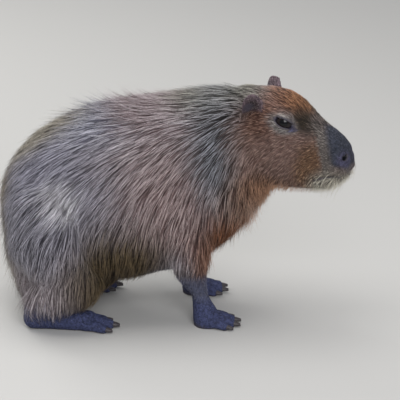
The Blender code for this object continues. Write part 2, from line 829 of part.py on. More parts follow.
def shape_face(item):
    """Nostrils, mouth, lips and the rims of the lids."""
    for side in (-1, 1):
        mouth = on_head(MOUTH, side)
        press(item, [point + UP * LIP_STEP for point in mouth], *UPPER_LIP)
        press(item, [point - UP * LIP_STEP for point in mouth], *LOWER_LIP)
        press(item, mouth, *MOUTH_GROOVE)
        press(item, on_head(NOSTRIL_FOLD, side), *FOLD_GROOVE)
        press(item, on_head(NOSTRIL, side), *NOSTRIL_PIT)
        press(item, lid_line(side), *LID_RIM)
    press(item, on_head(CLEFT, 1), *CLEFT_GROOVE)


def on_head(path, side):
    return [head_point(ahead, high, out * side) for ahead, high, out in path]


def lid_line(side):
    ring = almond_ring(side, EYE_RADIUS, LID_RIM_SCALE, 24)
    return ring + ring[:1]


# Claws


def claw(name, root, tip, narrow, side, back):
    """A short blunt nail on the front of a toe."""
    end = Vector((tip[0] - back, tip[1] * side, narrow * TOE_TIP_HEIGHT))
    start = Vector((root[0] - back, root[1] * side, narrow * TOE_TIP_HEIGHT))
    ahead = (end - start).normalized()
    cross = ahead.cross(Vector((0, 0, 1))).normalized()
    rings = []
    reach = narrow + CLAW_LENGTH
    for share, wide, high, low in CLAW_RINGS:
        middle = end + ahead * (reach * share)
        ring = []
        for step in range(CLAW_SIDES):
            turn = math.tau * (step + 0.5) / CLAW_SIDES
            lift = math.sin(turn) * narrow * (high if math.sin(turn) > 0 else low)
            ring.append(middle + cross * (narrow * wide * math.cos(turn)) + Vector((0, 0, lift)))
        rings.append(ring)
    return loft(name, rings)


def claws(leg, name, toes, side, back):
    nodes = []
    for number, (root, tip, wide, narrow) in enumerate(toes, 1):
        item = claw(f"{name}_{number}", root, tip, narrow, side, back)
        halve(item, Vector((0, 0, 0)), Vector((0, 0, 1)))
        nodes.append(cut_clear(item, leg))
    return nodes


# Finish


def finish_nodes(nodes):
    for item in nodes:
        kind = next((word for word in COLOURS if word in item.name), "torso")
        material = bpy.data.materials.get(kind) or new_material(kind)
        item.data.materials.clear()
        item.data.materials.append(material)
        item.data.shade_flat()


def new_material(kind):
    material = bpy.data.materials.new(kind)
    material.use_nodes = True
    shader = material.node_tree.nodes["Principled BSDF"]
    shader.inputs["Base Color"].default_value = COLOURS[kind]
    shader.inputs["Roughness"].default_value = 0.15 if kind == "eye" else 0.75
    shader.inputs["Metallic"].default_value = 0.0
    return material


def centre_on_origin(nodes):
    """Put the middle of the whole box over the origin, with the floor at 0."""
    points = [vert.co for item in nodes for vert in item.data.vertices]
    middle_x = (min(p.x for p in points) + max(p.x for p in points)) / 2
    middle_y = (min(p.y for p in points) + max(p.y for p in points)) / 2
    move = Matrix.Translation((-middle_x, -middle_y, 0.0))
    for item in nodes:
        item.data.transform(move)


def build():
    for item in list(bpy.data.objects):
        bpy.data.objects.remove(item)
    whole = blended_body()
    head_way = head_direction(math.cos(HEAD_CUT_LEAN), math.sin(HEAD_CUT_LEAN), 0.0)
    head_cut = head_point(HEAD_CUT_AT[0], HEAD_CUT_AT[1], 0.0)
    neck_way = Vector((math.cos(NECK_CUT_LEAN), 0.0, math.sin(NECK_CUT_LEAN)))

    surface = bmesh.new()
    surface.from_mesh(whole.data)
    bmesh.ops.triangulate(surface, faces=surface.faces)
    tree = BVHTree.FromBMesh(surface)
    roots = coat_roots(surface)
    surface.free()

    head = keep_largest(halve(copy_object(whole, "head"), head_cut - head_way * SPARE, head_way))
    shape_face(head)
    thin(head, HEAD_TRIANGLES)
    keep_largest(halve(whole, head_cut + head_way * SPARE, -head_way))
    thin(whole, BODY_TRIANGLES)
    draw = random.Random(LOCK_SEED + 1)
    dress(head, [root for root in roots if (root - head_cut).dot(head_way) > 0], tree, draw)
    dress(whole, [root for root in roots if (root - head_cut).dot(head_way) <= 0], tree, draw)

    slice_off(head, head_cut + head_way * (GAP / 2), head_way)
    slice_off(whole, head_cut - head_way * (GAP / 2), -head_way)
    slice_off(whole, Vector((0, 0, 0)), Vector((0, 0, 1)))
    nodes = [head]
    legs = []
    for side, word in ((-1, "right"), (1, "left")):
        open_eye(head, side)
        nodes.append(eye(side, f"eye_{word}"))
        foreleg = part_off(whole, f"foreleg_{word}", FORELEG_CUT, FORELEG_CUT_INNER, side)
        hind_leg = part_off(whole, f"hind_leg_{word}", HIND_LEG_CUT, HIND_LEG_CUT_INNER, side)
        nodes += [foreleg, hind_leg]
        back = LEFT_FORELEG_BACK if side > 0 else 0.0
        nodes += claws(foreleg, f"foreclaw_{word}", FORE_TOES, side, back)
        nodes += claws(hind_leg, f"hindclaw_{word}", HIND_TOES, side, 0.0)
    neck = slice_off(copy_object(whole, "neck"), NECK_CUT_AT + neck_way * (GAP / 2), neck_way)
    torso = slice_off(whole, NECK_CUT_AT - neck_way * (GAP / 2), -neck_way)
    torso.name = "torso"
    for side, word in ((-1, "right"), (1, "left")):
        nodes.append(cut_clear(cut_clear(ear(side, f"ear_{word}"), head), neck))
    nodes += [neck, torso]
    finish_nodes(nodes)
    centre_on_origin(nodes)


build()
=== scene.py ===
# The looks of a life-size sitting capybara: skin, eyes, claws and coat.
# Metres, +Z up, +X the way the body faces, +Y the animal's left.
# The skin is made in the animal's own design frame and then set over the solids.

import math

import bmesh
import bpy
import numpy as np
from mathutils import Matrix, Vector
from mathutils.bvhtree import BVHTree


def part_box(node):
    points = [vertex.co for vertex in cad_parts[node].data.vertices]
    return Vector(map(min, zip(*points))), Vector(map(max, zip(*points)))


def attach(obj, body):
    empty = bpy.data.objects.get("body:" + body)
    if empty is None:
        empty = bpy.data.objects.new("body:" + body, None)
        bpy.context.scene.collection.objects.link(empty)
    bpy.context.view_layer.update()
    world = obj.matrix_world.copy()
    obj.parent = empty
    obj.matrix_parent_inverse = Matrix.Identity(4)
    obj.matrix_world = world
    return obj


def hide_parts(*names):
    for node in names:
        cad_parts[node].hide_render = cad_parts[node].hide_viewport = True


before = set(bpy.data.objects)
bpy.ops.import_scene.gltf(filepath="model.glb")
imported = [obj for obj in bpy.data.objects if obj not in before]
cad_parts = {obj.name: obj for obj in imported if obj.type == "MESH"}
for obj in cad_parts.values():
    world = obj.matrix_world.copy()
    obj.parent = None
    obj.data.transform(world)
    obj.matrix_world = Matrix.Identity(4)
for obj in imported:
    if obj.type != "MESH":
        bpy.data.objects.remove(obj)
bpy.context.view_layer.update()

# Depth of the coat between the skin and the outline of its tips
DEPTH_BODY = 0.0130
DEPTH_LEG = 0.0080

# Fineness of the skin
VOXEL = 0.0016
SKIN_TRIANGLES = 170000
RING_POINTS = 48

# Outline of trunk and neck, out to the tips of the coat:
# top (x, z), bottom (x, z), half width, sideways shift of the middle
BODY_LINE = [
    ((-0.330, 0.240), (-0.330, 0.150), 0.036, 0.000),
    ((-0.321, 0.268), (-0.320, 0.080), 0.072, 0.000),
    ((-0.301, 0.298), (-0.300, 0.014), 0.096, 0.000),
    ((-0.276, 0.324), (-0.275, -0.006), 0.110, 0.000),
    ((-0.236, 0.350), (-0.235, -0.006), 0.121, 0.000),
    ((-0.196, 0.368), (-0.195, 0.020), 0.127, 0.000),
    ((-0.150, 0.381), (-0.145, 0.057), 0.131, 0.000),
    ((-0.100, 0.388), (-0.095, 0.063), 0.129, 0.000),
    ((-0.055, 0.395), (-0.045, 0.070), 0.123, 0.000),
    ((-0.015, 0.402), (0.000, 0.094), 0.115, 0.000),
    ((0.018, 0.407), (0.042, 0.126), 0.104, 0.000),
    ((0.042, 0.410), (0.080, 0.164), 0.093, -0.003),
    ((0.060, 0.409), (0.112, 0.202), 0.080, -0.009),
    ((0.076, 0.403), (0.132, 0.234), 0.068, -0.018),
]
BODY_POWER = 2.15
BODY_WIDE_AT = 0.44

# The head's own frame: its base point, and how it is turned and dipped
HEAD_BASE = Vector((0.060, 0.0, 0.345))
HEAD_TURN = math.radians(22.0)
HEAD_DIP = math.radians(14.0)

# Head outline: distance forward, top, bottom, half width, squareness
HEAD_LINE = [
    (-0.020, 0.050, -0.080, 0.044, 2.1),
    (0.004, 0.070, -0.096, 0.056, 2.2),
    (0.028, 0.077, -0.100, 0.062, 2.2),
    (0.054, 0.083, -0.097, 0.064, 2.3),
    (0.077, 0.085, -0.091, 0.062, 2.3),
    (0.097, 0.081, -0.084, 0.058, 2.4),
    (0.116, 0.072, -0.079, 0.053, 2.5),
    (0.135, 0.061, -0.073, 0.048, 2.6),
    (0.153, 0.052, -0.067, 0.0445, 2.8),
    (0.171, 0.046, -0.061, 0.0425, 2.9),
    (0.187, 0.039, -0.054, 0.041, 2.9),
    (0.200, 0.030, -0.045, 0.038, 2.8),
    (0.209, 0.019, -0.033, 0.032, 2.6),
    (0.2155, 0.009, -0.019, 0.021, 2.3),
]
HEAD_WIDE_AT = 0.44
HEAD_TOP_PINCH = 0.05

# Eyes: where the middle of the lids lies, and the way each eye looks
EYE_AT = (0.0970, 0.0478, 0.0500)
EYE_LOOK = (0.20, 0.22, 0.95)
EYE_RADIUS = 0.0165
LID_THICK = 0.0022
LID_OPENING = (0.0385, 0.0168)
LID_TILT = math.radians(-7.0)
LID_ARCH = 1.15
LID_TOP_FLAT = 0.84
LID_DEEP = 0.0075
LID_CUT_TO = 0.045
SOCKET_GAP = 0.0004
EYE_PROUD = 0.0035

# Ears: middle of the root, the way each stands (-1 is the right ear, 1 the left), the way it spreads,
# its half width, its height above the root, the depth of its cup and how much flatter the cup ends
EAR_AT = (0.038, 0.046, 0.050)
EAR_UP = {-1: (-0.05, 0.88, 0.42), 1: (-0.42, 0.82, 0.42)}
EAR_ALONG = (0.84, 0.35, -0.42)
EAR_HALF_WIDTH = 0.0180
EAR_HEIGHT = {-1: 0.043, 1: 0.034}
EAR_ROOT = 0.012
EAR_CUP = 0.0085
EAR_FLATTER = 0.4
EAR_THICK = 0.0036
EAR_ROUND = 0.32
EAR_TIP_WIDTH = 0.76
EAR_TIP_CURL = 0.004
EAR_TIP_DROP = 0.006
EAR_EDGE_THIN = 0.3
EAR_CELLS = 16
# Where the share of an ear sets in above its root, and where it ends up, sideways and outward
EAR_STARTS = (0.000, 0.008)
EAR_ENDS = (-0.052, -0.047)
EAR_SIDES = (-0.026, -0.022)
EAR_FACES = (-0.020, -0.016)

# Nostrils, mouth and lips: points forward, up and out on the muzzle
NOSTRIL = [(0.209, 0.0180, 0.0150), (0.2075, 0.0140, 0.0190), (0.2055, 0.0135, 0.0220)]
NOSTRIL_FOLD = [(0.190, 0.026, 0.026), (0.186, 0.014, 0.036), (0.190, 0.001, 0.036), (0.203, -0.003, 0.026)]
MOUTH = [(0.2155, -0.014, 0.000), (0.210, -0.015, 0.016), (0.197, -0.019, 0.033), (0.181, -0.028, 0.041),
         (0.170, -0.037, 0.041)]
CLEFT = [(0.2155, 0.004, 0.0), (0.2155, -0.013, 0.0)]
# Distance of the lips' ridges from the mouth, and how much less painted shade the mouth's groove gets than a
# nostril
LIP_STEP = 0.0065
MOUTH_PALER = 0.55
# Width and depth of each groove; a depth below zero raises a ridge
UPPER_LIP = (0.0090, -0.0022)
LOWER_LIP = (0.0080, -0.0018)
MOUTH_GROOVE = (0.0048, 0.0042)
FOLD_GROOVE = (0.0045, 0.0024)
NOSTRIL_PIT = (0.0054, 0.0085)
CLEFT_GROOVE = (0.0036, 0.0032)
LID_RIM = (0.0042, -0.0016)
UPPER_LID_GROOVE = (0.0032, 0.0011)
LOWER_LID_GROOVE = (0.0032, 0.0009)
# Size of the rim and folds of the lids against their opening, and the part of a ring in each fold
LID_RIM_SCALE = 1.13
LID_FOLD_SCALE = 1.42
UPPER_LID = slice(2, 23)
LOWER_LID = slice(28, 46)

# Foreleg: height, rear edge, front edge, sideways middle, half thickness
FORELEG_LINE = [
    (0.235, -0.080, 0.030, 0.052, 0.040),
    (0.190, -0.078, 0.028, 0.062, 0.040),
    (0.155, -0.068, 0.023, 0.070, 0.038),
    (0.125, -0.058, 0.017, 0.075, 0.032),
    (0.105, -0.048, 0.014, 0.076, 0.028),
    (0.085, -0.041, 0.013, 0.075, 0.024),
    (0.070, -0.028, 0.0135, 0.073, 0.020),
    (0.055, -0.0155, 0.0145, 0.072, 0.0165),
    (0.042, -0.014, 0.020, 0.071, 0.017),
    (0.026, -0.013, 0.030, 0.072, 0.021),
    (0.012, -0.013, 0.036, 0.074, 0.024),
    (-0.004, -0.011, 0.038, 0.075, 0.025),
]
LEFT_FORELEG_BACK = 0.020

# Toes: root and tip (forward, sideways), radius at root and tip
FORE_TOES = [
    ((0.018, 0.058), (0.044, 0.053), 0.0098, 0.0076),
    ((0.022, 0.069), (0.054, 0.069), 0.0105, 0.0082),
    ((0.022, 0.081), (0.053, 0.087), 0.0105, 0.0082),
    ((0.016, 0.091), (0.042, 0.101), 0.0096, 0.0074),
]
HIND_TOES = [
    ((-0.195, 0.078), (-0.166, 0.071), 0.0105, 0.0082),
    ((-0.192, 0.091), (-0.155, 0.092), 0.0118, 0.0092),
    ((-0.196, 0.104), (-0.165, 0.113), 0.0105, 0.0080),
]
TOE_LOW = 0.75
KNUCKLE_RISE = 0.002
# A nail's length past the toe, then against the toe's radius: half width at the root and what it loses,
# bluntness, the share sunk in the toe, height at the root and what it loses, and depth below
CLAW_LENGTH = 0.0085
CLAW_WIDE = (0.70, 0.08)
CLAW_BLUNT = 0.06
CLAW_SUNK = 0.28
CLAW_HIGH = (0.62, 0.46)
CLAW_SLOPE = 1.3
CLAW_LOW = 0.42
CLAW_RINGS = 8
CLAW_SIDES = 16

# Hind leg: haunch, thigh, shank and long foot as tapered tubes
HAUNCH = [(-0.268, 0.055, 0.200, 0.062), (-0.252, 0.074, 0.155, 0.074),
          (-0.230, 0.088, 0.112, 0.058), (-0.210, 0.095, 0.088, 0.042)]
SHANK = [(-0.212, 0.096, 0.086, 0.040), (-0.250, 0.092, 0.058, 0.038),
         (-0.276, 0.086, 0.030, 0.026)]
LONG_FOOT = [(-0.284, 0.086, 0.017, 0.020), (-0.255, 0.087, 0.015, 0.019),
             (-0.222, 0.089, 0.015, 0.021), (-0.192, 0.091, 0.012, 0.020)]
FLOOR_CLEAR = 0.0004

# How steeply the coat slants down at a height on the body
LIE_HEIGHTS = (0.06, 0.14, 0.20, 0.24, 0.31, 0.36, 0.39, 0.42)
LIE_SLANTS = (86.0, 80.0, 64.0, 54.0, 34.0, 20.0, 10.0, 3.0)
STEEPEST = 86.0
THROAT_SLANT = 20.0
FLANK_SLANT = 8.0
# How steeply it slants down at a height on the head, in degrees
HEAD_DROP_AT = (-0.10, -0.06, -0.02, 0.03, 0.06, 0.085)
HEAD_DROPS = (92, 82, 58, 26, 6, -8)
# The way it lies on the feet, and where it would have no way of its own
FOOT_LIE = (0.80, 0.0, -0.60)
SPARE_LIE = (-0.3, 0.0, -1.0)
LEAST_LIE = 0.05

# How far the lie swings, and how far single hairs stand out of the coat
WAVE_BODY = 0.055
WAVE_HEAD = 0.045
STRAY_BODY = 0.009
STRAY_LOIN = 0.028
STRAY_CHEST = 0.020
STRAY_REAR = 0.012
STRAY_JAW = 0.010
STRAY_SHORT = 0.0016
LOIN_AT = ((-0.140, 0.0, 0.385), (0.085, 0.10, 0.05), 0.5)
CHEST_AT = ((0.100, 0.0, 0.220), (0.060, 0.10, 0.09), 0.5)
JAW_AT = ((0.060, -0.090, 0.0), (0.090, 0.030, 0.10), 0.5)

# Where whiskers and hairs free of the coat grow: places ahead, high and out on the head, and one on
# the chest, with their reach and softness, then the length of the hair and how dense it is
WHISKER_PAD = ((0.192, -0.016, 0.034), (0.020, 0.013, 0.014), 0.4)
WHISKER_LENGTH = 0.036
HEAD_FRINGES = [
    ((0.206, -0.020, 0.012), (0.014, 0.020, 0.026), 0.3, 0.0140, 1.0),
    ((0.190, -0.050, 0.0), (0.036, 0.022, 0.050), 0.4, 0.0135, 1.0),
    ((0.095, -0.082, 0.0), (0.075, 0.030, 0.060), 0.4, 0.0170, 0.80),
    ((0.038, 0.056, 0.054), (0.009, 0.009, 0.009), 0.4, 0.0100, 0.5),
]
CHEST_FRINGE = ((0.108, -0.01, 0.215), (0.050, 0.065, 0.075), 0.4)
CHEST_FRINGE_LENGTH = 0.025
CHEST_FRINGE_SHARE = 0.60
LEAST_FREE_HAIR = 0.008
LEAST_SHARE = 0.05

# Length of the hair along the head, from the nape to the nose
HEAD_HAIR_AT = (-0.030, 0.010, 0.040, 0.070, 0.110, 0.160, 0.185, 0.215)
HEAD_HAIR = (0.046, 0.034, 0.023, 0.017, 0.014, 0.0085, 0.0048, 0.0034)
HEAD_DEPTHS = (0.0110, 0.0070, 0.0042, 0.0032, 0.0030, 0.0022, 0.0013, 0.0010)

# Length of the hair along the body, up the legs and on the ears, and how much longer it is elsewhere
BODY_HAIR_AT = (-0.30, -0.15, 0.0, 0.10)
BODY_HAIR = (0.066, 0.062, 0.050, 0.040)
LEG_HAIR_AT = (0.010, 0.040, 0.080, 0.120, 0.160)
LEG_HAIR = (0.004, 0.0055, 0.009, 0.020, 0.036)
EAR_HAIR = 0.0055
BELLY_LONGER = 0.012
JAW_LONGER = 0.9
EAR_ROOT_HAIR = 0.40

# Depth of the coat up the legs and on the ears
LEG_DEPTH_AT = (0.05, 0.09, 0.14)
LEG_DEPTHS = (0.0010, 0.0035, DEPTH_LEG)
EAR_DEPTH = 0.0010

# Half width of a strand at its root, by the depth of the coat there
THICK_DEPTHS = (0.0008, 0.0030, 0.0130)
THICKNESSES = (0.00024, 0.00040, 0.00052)

# Softboxes: place, the point that each faces, size, power and tint
SOFTBOXES = [
    ("sky_softbox", (-0.5, 0.1, 2.6), (0.0, 0.0, 0.2), 2.0, 44.0, (1.0, 0.99, 0.98)),
    ("front_softbox", (0.5, -2.6, 1.7), (0.0, 0.0, 0.2), 1.5, 52.0, (0.98, 0.98, 1.0)),
    ("rear_softbox", (-1.6, 2.0, 1.6), (0.0, 0.0, 0.25), 1.4, 26.0, (1.0, 0.99, 0.97)),
]
SKY_STRENGTH = 0.55
FLOOR_REACH = 6.0

# The camera stands as the photograph's does
CAMERA_DISTANCE = 4.0
CAMERA_RAISE = math.radians(20.0)
CAMERA_LENS = 209.0
CAMERA_AIM = Vector((0.0, 0.0, 0.20))


# Head frame


def head_axes():
    forward = Vector((math.cos(HEAD_DIP) * math.cos(HEAD_TURN), -math.cos(HEAD_DIP) * math.sin(HEAD_TURN),
                      -math.sin(HEAD_DIP)))
    left = Vector((math.sin(HEAD_TURN), math.cos(HEAD_TURN), 0.0))
    return forward, forward.cross(left), left


FORWARD, UP, LEFT = head_axes()


def head_point(ahead, high, left):
    return HEAD_BASE + FORWARD * ahead + UP * high + LEFT * left


def head_direction(ahead, high, left):
    return (FORWARD * ahead + UP * high + LEFT * left).normalized()


def eye_look(side):
    ahead, high, out = EYE_LOOK
    return head_direction(ahead, high, out * side)


def eye_centre(side):
    ahead, high, out = EYE_AT
    return head_point(ahead, high, out * side) - eye_look(side) * (EYE_RADIUS - EYE_PROUD)


def eye_axes(side):
    """The way an eye looks, and the ways along and across its lids."""
    look = eye_look(side)
    along = (FORWARD - look * FORWARD.dot(look)).normalized()
    return look, along, along.cross(look) * side


def on_head(path, side):
    return [head_point(ahead, high, out * side) for ahead, high, out in path]


eye_low, eye_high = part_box("eye_right")
SHIFT = (eye_low + eye_high) / 2 - eye_centre(-1)


# Meshes


def add_object(name, bm):
    mesh = bpy.data.meshes.new(name)
    bm.to_mesh(mesh)
    bm.free()
    item = bpy.data.objects.new(name, mesh)
    bpy.context.scene.collection.objects.link(item)
    return item


def remove_object(item):
    mesh = item.data
    bpy.data.objects.remove(item)
    bpy.data.meshes.remove(mesh)


def settle(item):
    """Apply every modifier of an object to its mesh."""
    bpy.context.view_layer.update()
    graph = bpy.context.evaluated_depsgraph_get()
    mesh = bpy.data.meshes.new_from_object(item.evaluated_get(graph))
    old = item.data
    item.modifiers.clear()
    item.data = mesh
    bpy.data.meshes.remove(old)
    return item


def rounded(value, power):
    return math.copysign(abs(value) ** (2.0 / power), value)


def ring_between(top, bottom, half_width, side, wide_at, power, pinch=0.0):
    """A closed ring of points, widest part way up between two points."""
    middle = bottom + (top - bottom) * wide_at
    points = []
    for step in range(RING_POINTS):
        turn = math.tau * step / RING_POINTS
        across = rounded(math.cos(turn), power)
        along = rounded(math.sin(turn), power)
        reach = (top - middle) if along > 0 else (middle - bottom)
        narrowed = 1.0 - pinch * max(0.0, along)
        points.append(middle + side * (half_width * across * narrowed) + reach * along)
    return points


def loft(name, rings):
    """A closed skin over a row of rings with the same count of points."""
    bm = bmesh.new()
    rows = []
    for ring in rings:
        rows.append([bm.verts.new(point) for point in ring])
    for near, far in zip(rows, rows[1:]):
        for here in range(len(near)):
            following = (here + 1) % len(near)
            bm.faces.new((near[here], near[following], far[following], far[here]))
    bm.faces.new(list(reversed(rows[0])))
    bm.faces.new(rows[-1])
    bmesh.ops.recalc_face_normals(bm, faces=bm.faces)
    return add_object(name, bm)


def ball(name, centre, radius, across=32, around=20):
    bm = bmesh.new()
    bmesh.ops.create_uvsphere(bm, u_segments=across, v_segments=around, radius=radius)
    bmesh.ops.translate(bm, verts=bm.verts, vec=centre)
    return add_object(name, bm)


def tube(name, path):
    """A tapered tube with round ends through (x, y, z, radius) points."""
    rings = []
    for place, (x, y, z, radius) in enumerate(path):
        before = Vector(path[max(place - 1, 0)][:3])
        after = Vector(path[min(place + 1, len(path) - 1)][:3])
        ahead = (after - before).normalized()
        side = ahead.cross(Vector((0, 0, 1)))
        side = side.normalized() if side.length > 0.01 else Vector((0, 1, 0))
        lift = side.cross(ahead)
        middle = Vector((x, y, z))
        ring = []
        for step in range(RING_POINTS):
            turn = math.tau * step / RING_POINTS
            ring.append(middle + side * (radius * math.cos(turn)) + lift * (radius * math.sin(turn)))
        rings.append(ring)
    start = ball(name + "_start", Vector(path[0][:3]), path[0][3])
    end = ball(name + "_end", Vector(path[-1][:3]), path[-1][3])
    return [loft(name, rings), start, end]


# The forms under the skin


def body_form():
    rings = []
    for top, bottom, half_width, shift in BODY_LINE:
        high = Vector((top[0], shift, top[1]))
        low = Vector((bottom[0], shift, bottom[1]))
        inward = (high - low).normalized() * DEPTH_BODY
        rings.append(ring_between(high - inward, low + inward, half_width - DEPTH_BODY, Vector((0, 1, 0)),
                                  BODY_WIDE_AT, BODY_POWER))
    return [loft("body_form", rings)]


def head_form():
    rings = []
    for ahead, top, bottom, half_width, power in HEAD_LINE:
        depth = float(np.interp(ahead, HEAD_HAIR_AT, HEAD_DEPTHS))
        high = head_point(ahead, top - depth, 0.0)
        low = head_point(ahead, bottom + depth, 0.0)
        rings.append(ring_between(high, low, half_width - depth, LEFT, HEAD_WIDE_AT, power, HEAD_TOP_PINCH))
    return [loft("head_form", rings)]


def foreleg_form(side):
    back = LEFT_FORELEG_BACK if side > 0 else 0.0
    rings = []
    for height, rear, front, out, half in FORELEG_LINE:
        trim = float(leg_depth(height))
        high = Vector((front - back - trim, out * side, height))
        low = Vector((rear - back + trim, out * side, height))
        rings.append(ring_between(high, low, half - trim, Vector((0, 1, 0)), 0.5, 2.0))
    forms = [loft("foreleg_form", rings)]
    for root, tip, wide, narrow in FORE_TOES:
        forms += toe_form(root, tip, wide, narrow, side, back)
    return forms


def leg_depth(height):
    return np.interp(height, LEG_DEPTH_AT, LEG_DEPTHS)


def toe_form(root, tip, wide, narrow, side, back):
    start = Vector((root[0] - back, root[1] * side, wide))
    end = Vector((tip[0] - back, tip[1] * side, narrow * TOE_LOW))
    knuckle = start.lerp(end, 0.5) + Vector((0, 0, KNUCKLE_RISE))
    return tube("toe_form", [(*start, wide), (*knuckle, (wide + narrow) / 2), (*end, narrow)])


def hind_leg_form(side):
    forms = []
    for path in (HAUNCH, SHANK, LONG_FOOT):
        trim = DEPTH_LEG if path is HAUNCH else 0.001
        forms += tube("hind_form", [(x, y * side, z, radius - trim) for x, y, z, radius in path])
    for root, tip, wide, narrow in HIND_TOES:
        forms += toe_form(root, tip, wide, narrow, side, 0.0)
    return forms


def ear_frame(side):
    root = head_point(EAR_AT[0], EAR_AT[1], EAR_AT[2] * side)
    ahead, high, outward = EAR_UP[side]
    tall = head_direction(ahead, high, outward * side)
    wide = head_direction(EAR_ALONG[0], EAR_ALONG[1], EAR_ALONG[2] * side)
    wide = (wide - tall * wide.dot(tall)).normalized()
    return root, tall, wide, wide.cross(tall) * -side


def ear_form(side):
    """A small round cup that stands up from the head and opens outward."""
    root, tall, wide, out = ear_frame(side)
    rows = columns = EAR_CELLS
    bm = bmesh.new()
    sheets = []
    for layer in (0, 1):
        sheet = []
        for row in range(rows + 1):
            share = math.sin(math.pi / 2 * row / rows)
            half = EAR_HALF_WIDTH * max(EAR_TIP_WIDTH, math.cos(math.pi / 2 * row / rows) ** EAR_ROUND)
            line = []
            for column in range(columns + 1):
                across = 2.0 * column / columns - 1.0
                rise = EAR_CUP * across ** 2 * (1.0 - EAR_FLATTER * share) + EAR_TIP_CURL * share ** 3
                edge = max(abs(across), share)
                thick = EAR_THICK * (1.0 - EAR_EDGE_THIN * edge ** 4) * layer
                drop = EAR_TIP_DROP * share ** 3 * across ** 2
                height = (EAR_HEIGHT[side] + EAR_ROOT) * share - EAR_ROOT - drop
                spot = root + tall * height + wide * (half * across) + out * (rise - thick)
                line.append(bm.verts.new(spot))
            sheet.append(line)
        sheets.append(sheet)
    for sheet in sheets:
        for row in range(rows):
            for column in range(columns):
                bm.faces.new((sheet[row][column], sheet[row][column + 1], sheet[row + 1][column + 1],
                              sheet[row + 1][column]))
    rims = [sheet_rim(sheet, rows, columns) for sheet in sheets]
    for here in range(len(rims[0])):
        following = (here + 1) % len(rims[0])
        bm.faces.new((rims[0][here], rims[0][following], rims[1][following], rims[1][here]))
    bmesh.ops.recalc_face_normals(bm, faces=bm.faces)
    return add_object("ear_form", bm)


def sheet_rim(sheet, rows, columns):
    rim = [sheet[0][column] for column in range(columns)]
    rim += [sheet[row][columns] for row in range(rows)]
    rim += [sheet[rows][column] for column in range(columns, 0, -1)]
    rim += [sheet[row][0] for row in range(rows, 0, -1)]
    return rim


def blended_skin():
    """Every form of flesh as one smooth closed mesh."""
    forms = body_form() + head_form()
    for side in (-1, 1):
        forms.append(ball("lid_form", eye_centre(side), EYE_RADIUS + LID_THICK))
        forms.append(ear_form(side))
        forms += foreleg_form(side) + hind_leg_form(side)
    bm = bmesh.new()
    for form in forms:
        bm.from_mesh(form.data)
        remove_object(form)
    bmesh.ops.triangulate(bm, faces=bm.faces)
    skin = add_object("skin", bm)
    remesh = skin.modifiers.new("blend", "REMESH")
    remesh.mode = "VOXEL"
    remesh.voxel_size = VOXEL
    settle(skin)
    points = points_of(skin)
    group = skin.vertex_groups.new(name="soft")
    soft = 1.0 - ear_share(points)
    for index in np.nonzero(soft > 0.02)[0]:
        group.add([int(index)], float(soft[index]), "REPLACE")
    for name, count, chosen in (("level", 2, ""), ("soften", 10, "soft")):
        smooth = skin.modifiers.new(name, "SMOOTH")
        smooth.factor = 0.5
        smooth.iterations = count
        smooth.vertex_group = chosen
    return settle(skin)


# Points as arrays


def points_of(item):
    flat = np.empty(len(item.data.vertices) * 3, np.float32)
    item.data.vertices.foreach_get("co", flat)
    return flat.reshape(-1, 3).astype(float)


def normals_of(item):
    flat = np.empty(len(item.data.vertices) * 3, np.float32)
    item.data.vertices.foreach_get("normal", flat)
    return flat.reshape(-1, 3).astype(float)


def set_points(item, points):
    item.data.vertices.foreach_set("co", points.astype(np.float32).ravel())
    item.data.update()


def in_head(points):
    """Points as distances ahead, high and to the left in the head's frame."""
    local = points - np.array(HEAD_BASE)
    return local @ np.array(FORWARD), local @ np.array(UP), local @ np.array(LEFT)


def ramp(values, low, high):
    """0 below low, 1 above high, and a soft S between them."""
    share = np.clip((values - low) / (high - low), 0.0, 1.0)
    return share * share * (3.0 - 2.0 * share)


def near(points, centre, radii, soft=0.5):
    """1 inside an ellipsoid, falling to 0 over its soft outer share."""
    away = np.sqrt((((points - np.array(centre)) / np.array(radii)) ** 2).sum(axis=1))
    return 1.0 - ramp(away, 1.0 - soft, 1.0 + soft)


def ear_share(points):
    share = np.zeros(len(points))
    for side in (-1, 1):
        root, tall, wide, out = ear_frame(side)
        local = points - np.array(root)
        up, along, away = local @ np.array(tall), local @ np.array(wide), local @ np.array(out)
        inside = ramp(up, *EAR_STARTS) * ramp(-up, *EAR_ENDS) * ramp(-np.abs(along), *EAR_SIDES)
        share = np.maximum(share, inside * ramp(-np.abs(away), *EAR_FACES))
    return share


# Face


def almond_ring(side, distance, scale, count=48):
    """Points round the opening of the lids, this far along the line of sight."""
    look, along, across = eye_axes(side)
    ring = []
    for step in range(count):
        turn = math.tau * step / count
        x = LID_OPENING[0] / 2 * scale * math.cos(turn)
        y = LID_OPENING[1] / 2 * scale * math.copysign(abs(math.sin(turn)) ** LID_ARCH, math.sin(turn))
        y = y * LID_TOP_FLAT if y > 0 else y
        over = x * math.cos(LID_TILT) - y * math.sin(LID_TILT)
        rise = x * math.sin(LID_TILT) + y * math.cos(LID_TILT)
        ring.append(eye_centre(side) + look * distance + along * over + across * rise)
    return ring


def open_lids(skin, side):
    almond = loft("almond", [almond_ring(side, LID_DEEP, 1.0), almond_ring(side, LID_CUT_TO, 1.0)])
    socket = ball("socket", eye_centre(side), EYE_RADIUS + SOCKET_GAP)
    for cutter in (almond, socket):
        modifier = skin.modifiers.new("open", "BOOLEAN")
        modifier.operation = "DIFFERENCE"
        modifier.solver = "MANIFOLD"
        modifier.object = cutter
        settle(skin)
        remove_object(cutter)


def refined(path, step=0.0012):
    points = []
    for start, end in zip(path, path[1:]):
        count = max(1, int((end - start).length / step))
        points += [start.lerp(end, share / count) for share in range(count)]
    return points + [path[-1]]


